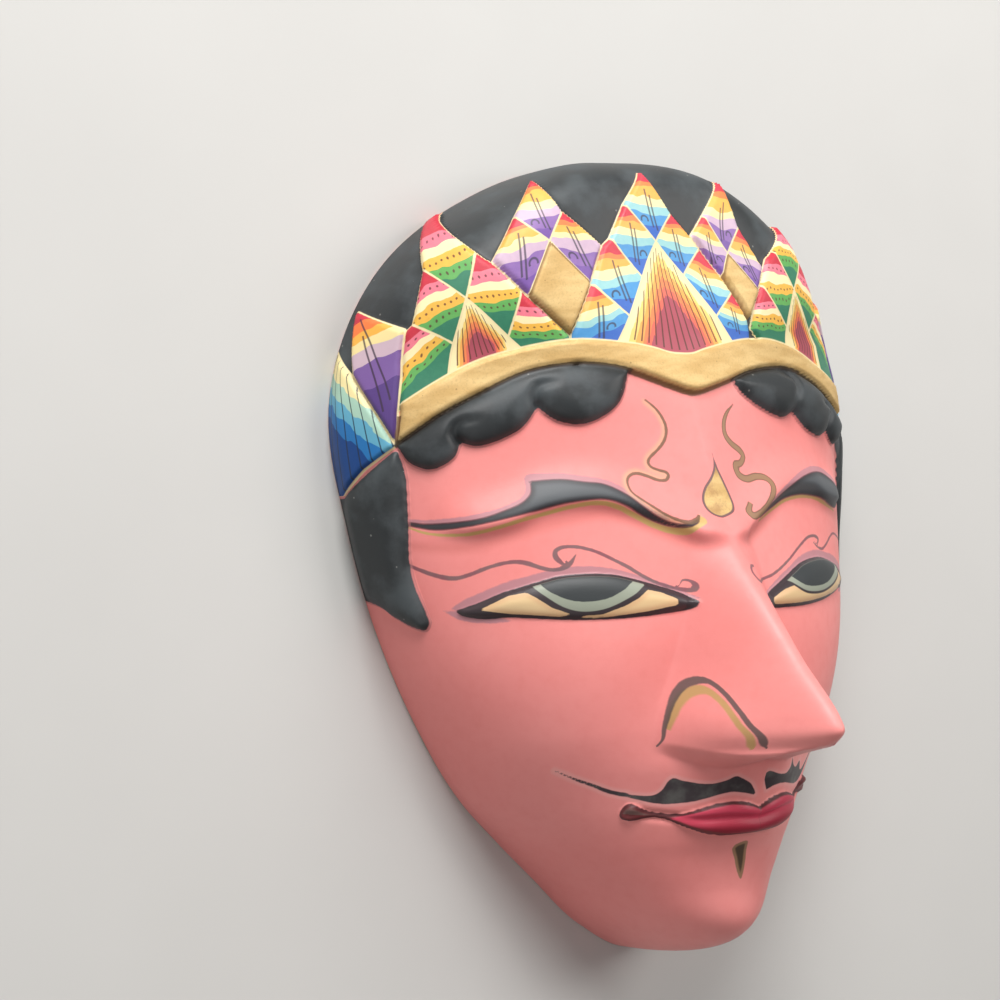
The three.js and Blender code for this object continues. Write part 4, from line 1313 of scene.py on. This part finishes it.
def lay_lips(look):
    mouth, red, over = look.attribute("mouth")
    look.lay(mouth.filled(grow=0.05, shake=0.3), LIP_EDGE, INK_ROUGH)
    look.lay(mouth.filled(grow=-0.55, soft=0.5) * 0.8, LIP_KNOB)
    look.lay(mouth.ramp(0.3, 0.9) * over.under(0.0) * 0.6, LIP_GREY)
    # The red grades across the mouth line from the lit red to the shaded red: painted light and shade
    lips = look.blend(over.ramp(-0.5, 3.2), LIP_LIT_RED, LIP_SHADED_RED)
    look.lay(red.filled(soft=0.16, shake=0.3), lips, INK_ROUGH)


def lay_goatee(look):
    goatee = look.attribute("whiskers")[1]
    look.lay(goatee.filled(soft=0.16, shake=0.3) * 0.9, GOATEE_EDGE)
    look.lay(goatee.filled(grow=-0.75, soft=0.3) * 0.85, GOATEE_BROWN)


def lower_look():
    look = Look("nose_and_mouth_paint")
    for lay_coat in (lay_pink, lay_nose, lay_whiskers, lay_lips, lay_goatee):
        lay_coat(look)
    return look.finish(bump_of(look), 0.22, 0.22)


def wood_look():
    """Bare pale wood of the hollow: growth rings, fine pores, stains and smudges of paint."""
    look = Look("bare_wood")
    grain = look.noise(3.0, 5.0, look.stretched((1.0, 0.07, 1.0)))
    rings = look.noise(16, 3.0, look.stretched((1.0, 0.12, 1.0)))
    pores = look.noise(0.5, 2.0, look.stretched((1.0, 0.06, 1.0)))
    colour = look.blend(rings.ramp(0.3, 0.7), WOOD_PALE, WOOD_RING)
    colour = look.blend(grain.ramp(0.4, 0.75) * 0.7, colour, WOOD_GRAIN)
    colour = look.blend(pores.ramp(0.55, 0.8) * 0.5, colour, WOOD_PORE)
    stain = look.noise(26, 4.0).ramp(0.5, 0.75)
    look.lay(1.0, look.blend(stain * 0.45, colour, WOOD_STAIN))
    look.rough = look.between(grain, *ROUGHNESS["wood"])
    rim = look.attribute("rim")[0]
    smudge = rim.ramp(0.35, 0.8) * look.noise(4, 4.0).ramp(0.35, 0.55)
    look.lay(smudge * 0.9, PINK_DEEP)
    return look.finish(grain * 0.7 + pores * 0.5, 0.5, 0.4)


# The hollow and the rim

# The rounded edge as distance inward and height, and how much paint the rim's rings carry
RIM_PROFILE = [(0.0, RIM_ROUND), (0.14, 0.14), (RIM_ROUND, 0.0)]
RIM_SMUDGES = (1.0, 0.7)
HOLLOW_ROWS, HOLLOW_COLUMNS, HOLLOW_END = 170, 126, 89.4
GOUGE = {"wide": 7.5, "long": 15.0, "across": 1.0, "down": 0.6}
GOUGES_FROM = (2.0, 12.0)


def gouges(points):
    """Shallow scoops of a gouge, in rows along the face, each row shifted by its own share."""
    x, y = points[..., 0] / GOUGE["wide"], points[..., 1] / GOUGE["long"]
    shift = (np.sin(np.floor(x) * 12.9) * 43.7) % 1
    across, down = x % 1 - 0.5, (y + shift) % 1 - 0.5
    return GOUGE["across"] * across ** 2 + GOUGE["down"] * down ** 2


def hollow_points():
    """The bowl behind the face: the plain oval made smaller by the wall, with gouge marks."""
    lowest = min(rise for _, rise in MIDDLE_RISE)
    share = (lowest - WALL) / lowest
    across, up = half_width(0.0), HALF_HEIGHT
    turns = np.radians(np.linspace(-90, 90, HOLLOW_COLUMNS + 1))
    rises = np.radians(np.linspace(-HOLLOW_END, HOLLOW_END, HOLLOW_ROWS + 1))
    u, y = np.meshgrid(np.sin(turns), np.sin(rises) * HALF_HEIGHT)
    z = oval_rise(u, y) * share
    points = np.stack([u * half_width(y) * (across - WALL) / across, y * (up - WALL) / up, z], axis=2)
    points[..., 2] += gouges(points) * smooth_step(*GOUGES_FROM, z)
    points[border(z.shape), 2] = 0
    return points


def inset_loops(loop):
    """Rings of the rounded outer edge, each further in and lower."""
    inward = -loop[:, :2] / np.linalg.norm(loop[:, :2], axis=1, keepdims=True)
    level = np.ones(len(loop))
    return [np.column_stack([loop[:, :2] + inward * inset, level * z]) for inset, z in RIM_PROFILE]


def ring_faces(rings, count, first):
    """Faces between rings of points that are numbered one ring after another."""
    ids = first + np.arange(rings)[:, None] * count + np.append(np.arange(count), 0)
    return np.stack([ids[:-1, 1:], ids[:-1, :-1], ids[1:, :-1], ids[1:, 1:]], axis=2).reshape(-1, 4)


def turns_of(loop):
    return np.unwrap(np.arctan2(loop[:, 1], loop[:, 0]))


def zipped(outer, inner, outer_first, inner_first):
    """Triangles between two loops that run round the middle the same way."""
    a, b = turns_of(outer), turns_of(inner)
    start = int(np.argmin(np.abs((b - a[0] + math.pi) % (2 * math.pi) - math.pi)))
    b = np.roll(b, -start)
    b = np.unwrap(b)
    b += a[0] - b[0] - ((a[0] - b[0] + math.pi) % (2 * math.pi) - math.pi)
    faces, i, j = [], 0, 0
    n, m = len(a), len(b)
    a, b = np.append(a, a[0] + 2 * math.pi), np.append(b, b[0] + 2 * math.pi)
    while i < n or j < m:
        outer_id, inner_id = outer_first + i % n, inner_first + (j + start) % m
        if j == m or (i < n and a[i + 1] < b[j + 1]):
            faces.append((outer_first + (i + 1) % n, outer_id, inner_id))
            i += 1
        else:
            faces.append((outer_id, inner_id, inner_first + (j + 1 + start) % m))
            j += 1
    return faces


def back_mesh(front):
    """Points and faces of the hollow, its flat rim and the rounded edge, and their paint smudges."""
    outer = front.reshape(-1, 3)[loop_of(np.arange(X.size).reshape(X.shape))]
    rings, count = inset_loops(outer), len(outer)
    hollow = hollow_points()
    rows, columns = hollow.shape[:2]
    hollow = hollow.reshape(-1, 3)
    inner = hollow[loop_of(np.arange(len(hollow)).reshape(rows, columns))]
    inner_first, outer_first = len(hollow), len(hollow) + len(inner)
    flat_first = outer_first + (len(rings) - 1) * count
    faces = [*grid_faces(rows, columns)[:, ::-1], *ring_faces(len(rings), count, outer_first)]
    faces += zipped(rings[-1], inner, flat_first, inner_first)
    smudged = np.repeat([0, *RIM_SMUDGES], [outer_first, 2 * count, count])
    return np.vstack([hollow, inner, *rings]), faces, packed(smudged)


def make_mask():
    front = face_points()
    face = add_mesh("mask_face", front.reshape(-1, 3), grid_faces(*X.shape), face_attributes())
    for look in (crown_look(), upper_look(), lower_look()):
        face.data.materials.append(look)
    middle_y = (Y[:-1, :-1] + Y[1:, 1:]).ravel() / 2
    girth = np.abs(GIRTH[:-1, :-1] + GIRTH[1:, 1:]).ravel() / 2
    split = np.interp(girth, *np.array(ZONE_SPLIT, float).T)
    zone = np.where(middle_y > split, 0, np.where(middle_y > NOSE_ZONE, 1, 2))
    face.data.polygons.foreach_set("material_index", zone.astype(np.int32))
    points, faces, rim = back_mesh(front)
    back = add_mesh("mask_back", points, faces, {"rim": rim})
    back.data.materials.append(wood_look())
    for piece in (face, back):
        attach(piece, "root")
        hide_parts("mask")


# Room

FLOOR_SIZE = 6.0
LIGHTS = [
    {"name": "window", "at": (-0.22, 0.84, 0.6), "size": 0.5, "power": 12.5, "tint": (1.0, 0.99, 0.98)},
    {"name": "side", "at": (0.6, 0.3, 0.75), "size": 0.6, "power": 4.6, "tint": (1.0, 0.97, 0.94)},
    {"name": "fill", "at": (-0.7, -0.3, 0.7), "size": 0.9, "power": 1.9, "tint": (1.0, 0.97, 0.95)},
]
AIM = (0.0, 0.0, 0.03)
WORLD_GLOW = 0.16


def make_camera():
    turn = {key: math.radians(value) for key, value in CAMERA_TURN.items()}
    rotation = (Matrix.Rotation(turn["roll"], 3, "Z") @ Matrix.Rotation(turn["pitch"], 3, "X")
                @ Matrix.Rotation(turn["yaw"], 3, "Y"))
    back = rotation.transposed()
    data = bpy.data.cameras.new("camera")
    data.lens, data.sensor_width = LENS, SENSOR
    camera = bpy.data.objects.new("camera", data)
    camera.matrix_world = Matrix.Translation(-(back @ Vector(CAMERA_SHIFT))) @ back.to_4x4()
    bpy.context.scene.collection.objects.link(camera)
    bpy.context.scene.camera = camera


def make_lights():
    for item in LIGHTS:
        data = bpy.data.lights.new(item["name"], "AREA")
        data.size, data.energy, data.color = item["size"], item["power"], item["tint"]
        lamp = bpy.data.objects.new(item["name"], data)
        lamp.location = item["at"]
        lamp.rotation_euler = (Vector(AIM) - Vector(item["at"])).to_track_quat("-Z", "Y").to_euler()
        bpy.context.scene.collection.objects.link(lamp)
    world = bpy.data.worlds.new("studio")
    world.use_nodes = True
    world.node_tree.nodes["Background"].inputs["Color"].default_value = (1.0, 1.0, 1.0, 1.0)
    world.node_tree.nodes["Background"].inputs["Strength"].default_value = WORLD_GLOW
    bpy.context.scene.world = world


def make_floor():
    half = FLOOR_SIZE / 2 / MM
    corners = [(-half, -half, 0), (half, -half, 0), (half, half, 0), (-half, half, 0)]
    floor = add_mesh("floor", corners, [(0, 1, 2, 3)])
    look = Look("floor_paint")
    look.lay(1.0, look.blend(look.noise(60), FLOOR_PALE, FLOOR_DIM))
    look.rough = look.between(look.noise(20), *ROUGHNESS["floor"])
    floor.data.materials.append(look.finish(look.noise(2.0), 0.05, 0.1))


make_camera()
make_floor()
make_lights()
make_mask()
bpy.context.scene.view_settings.view_transform = "Standard"
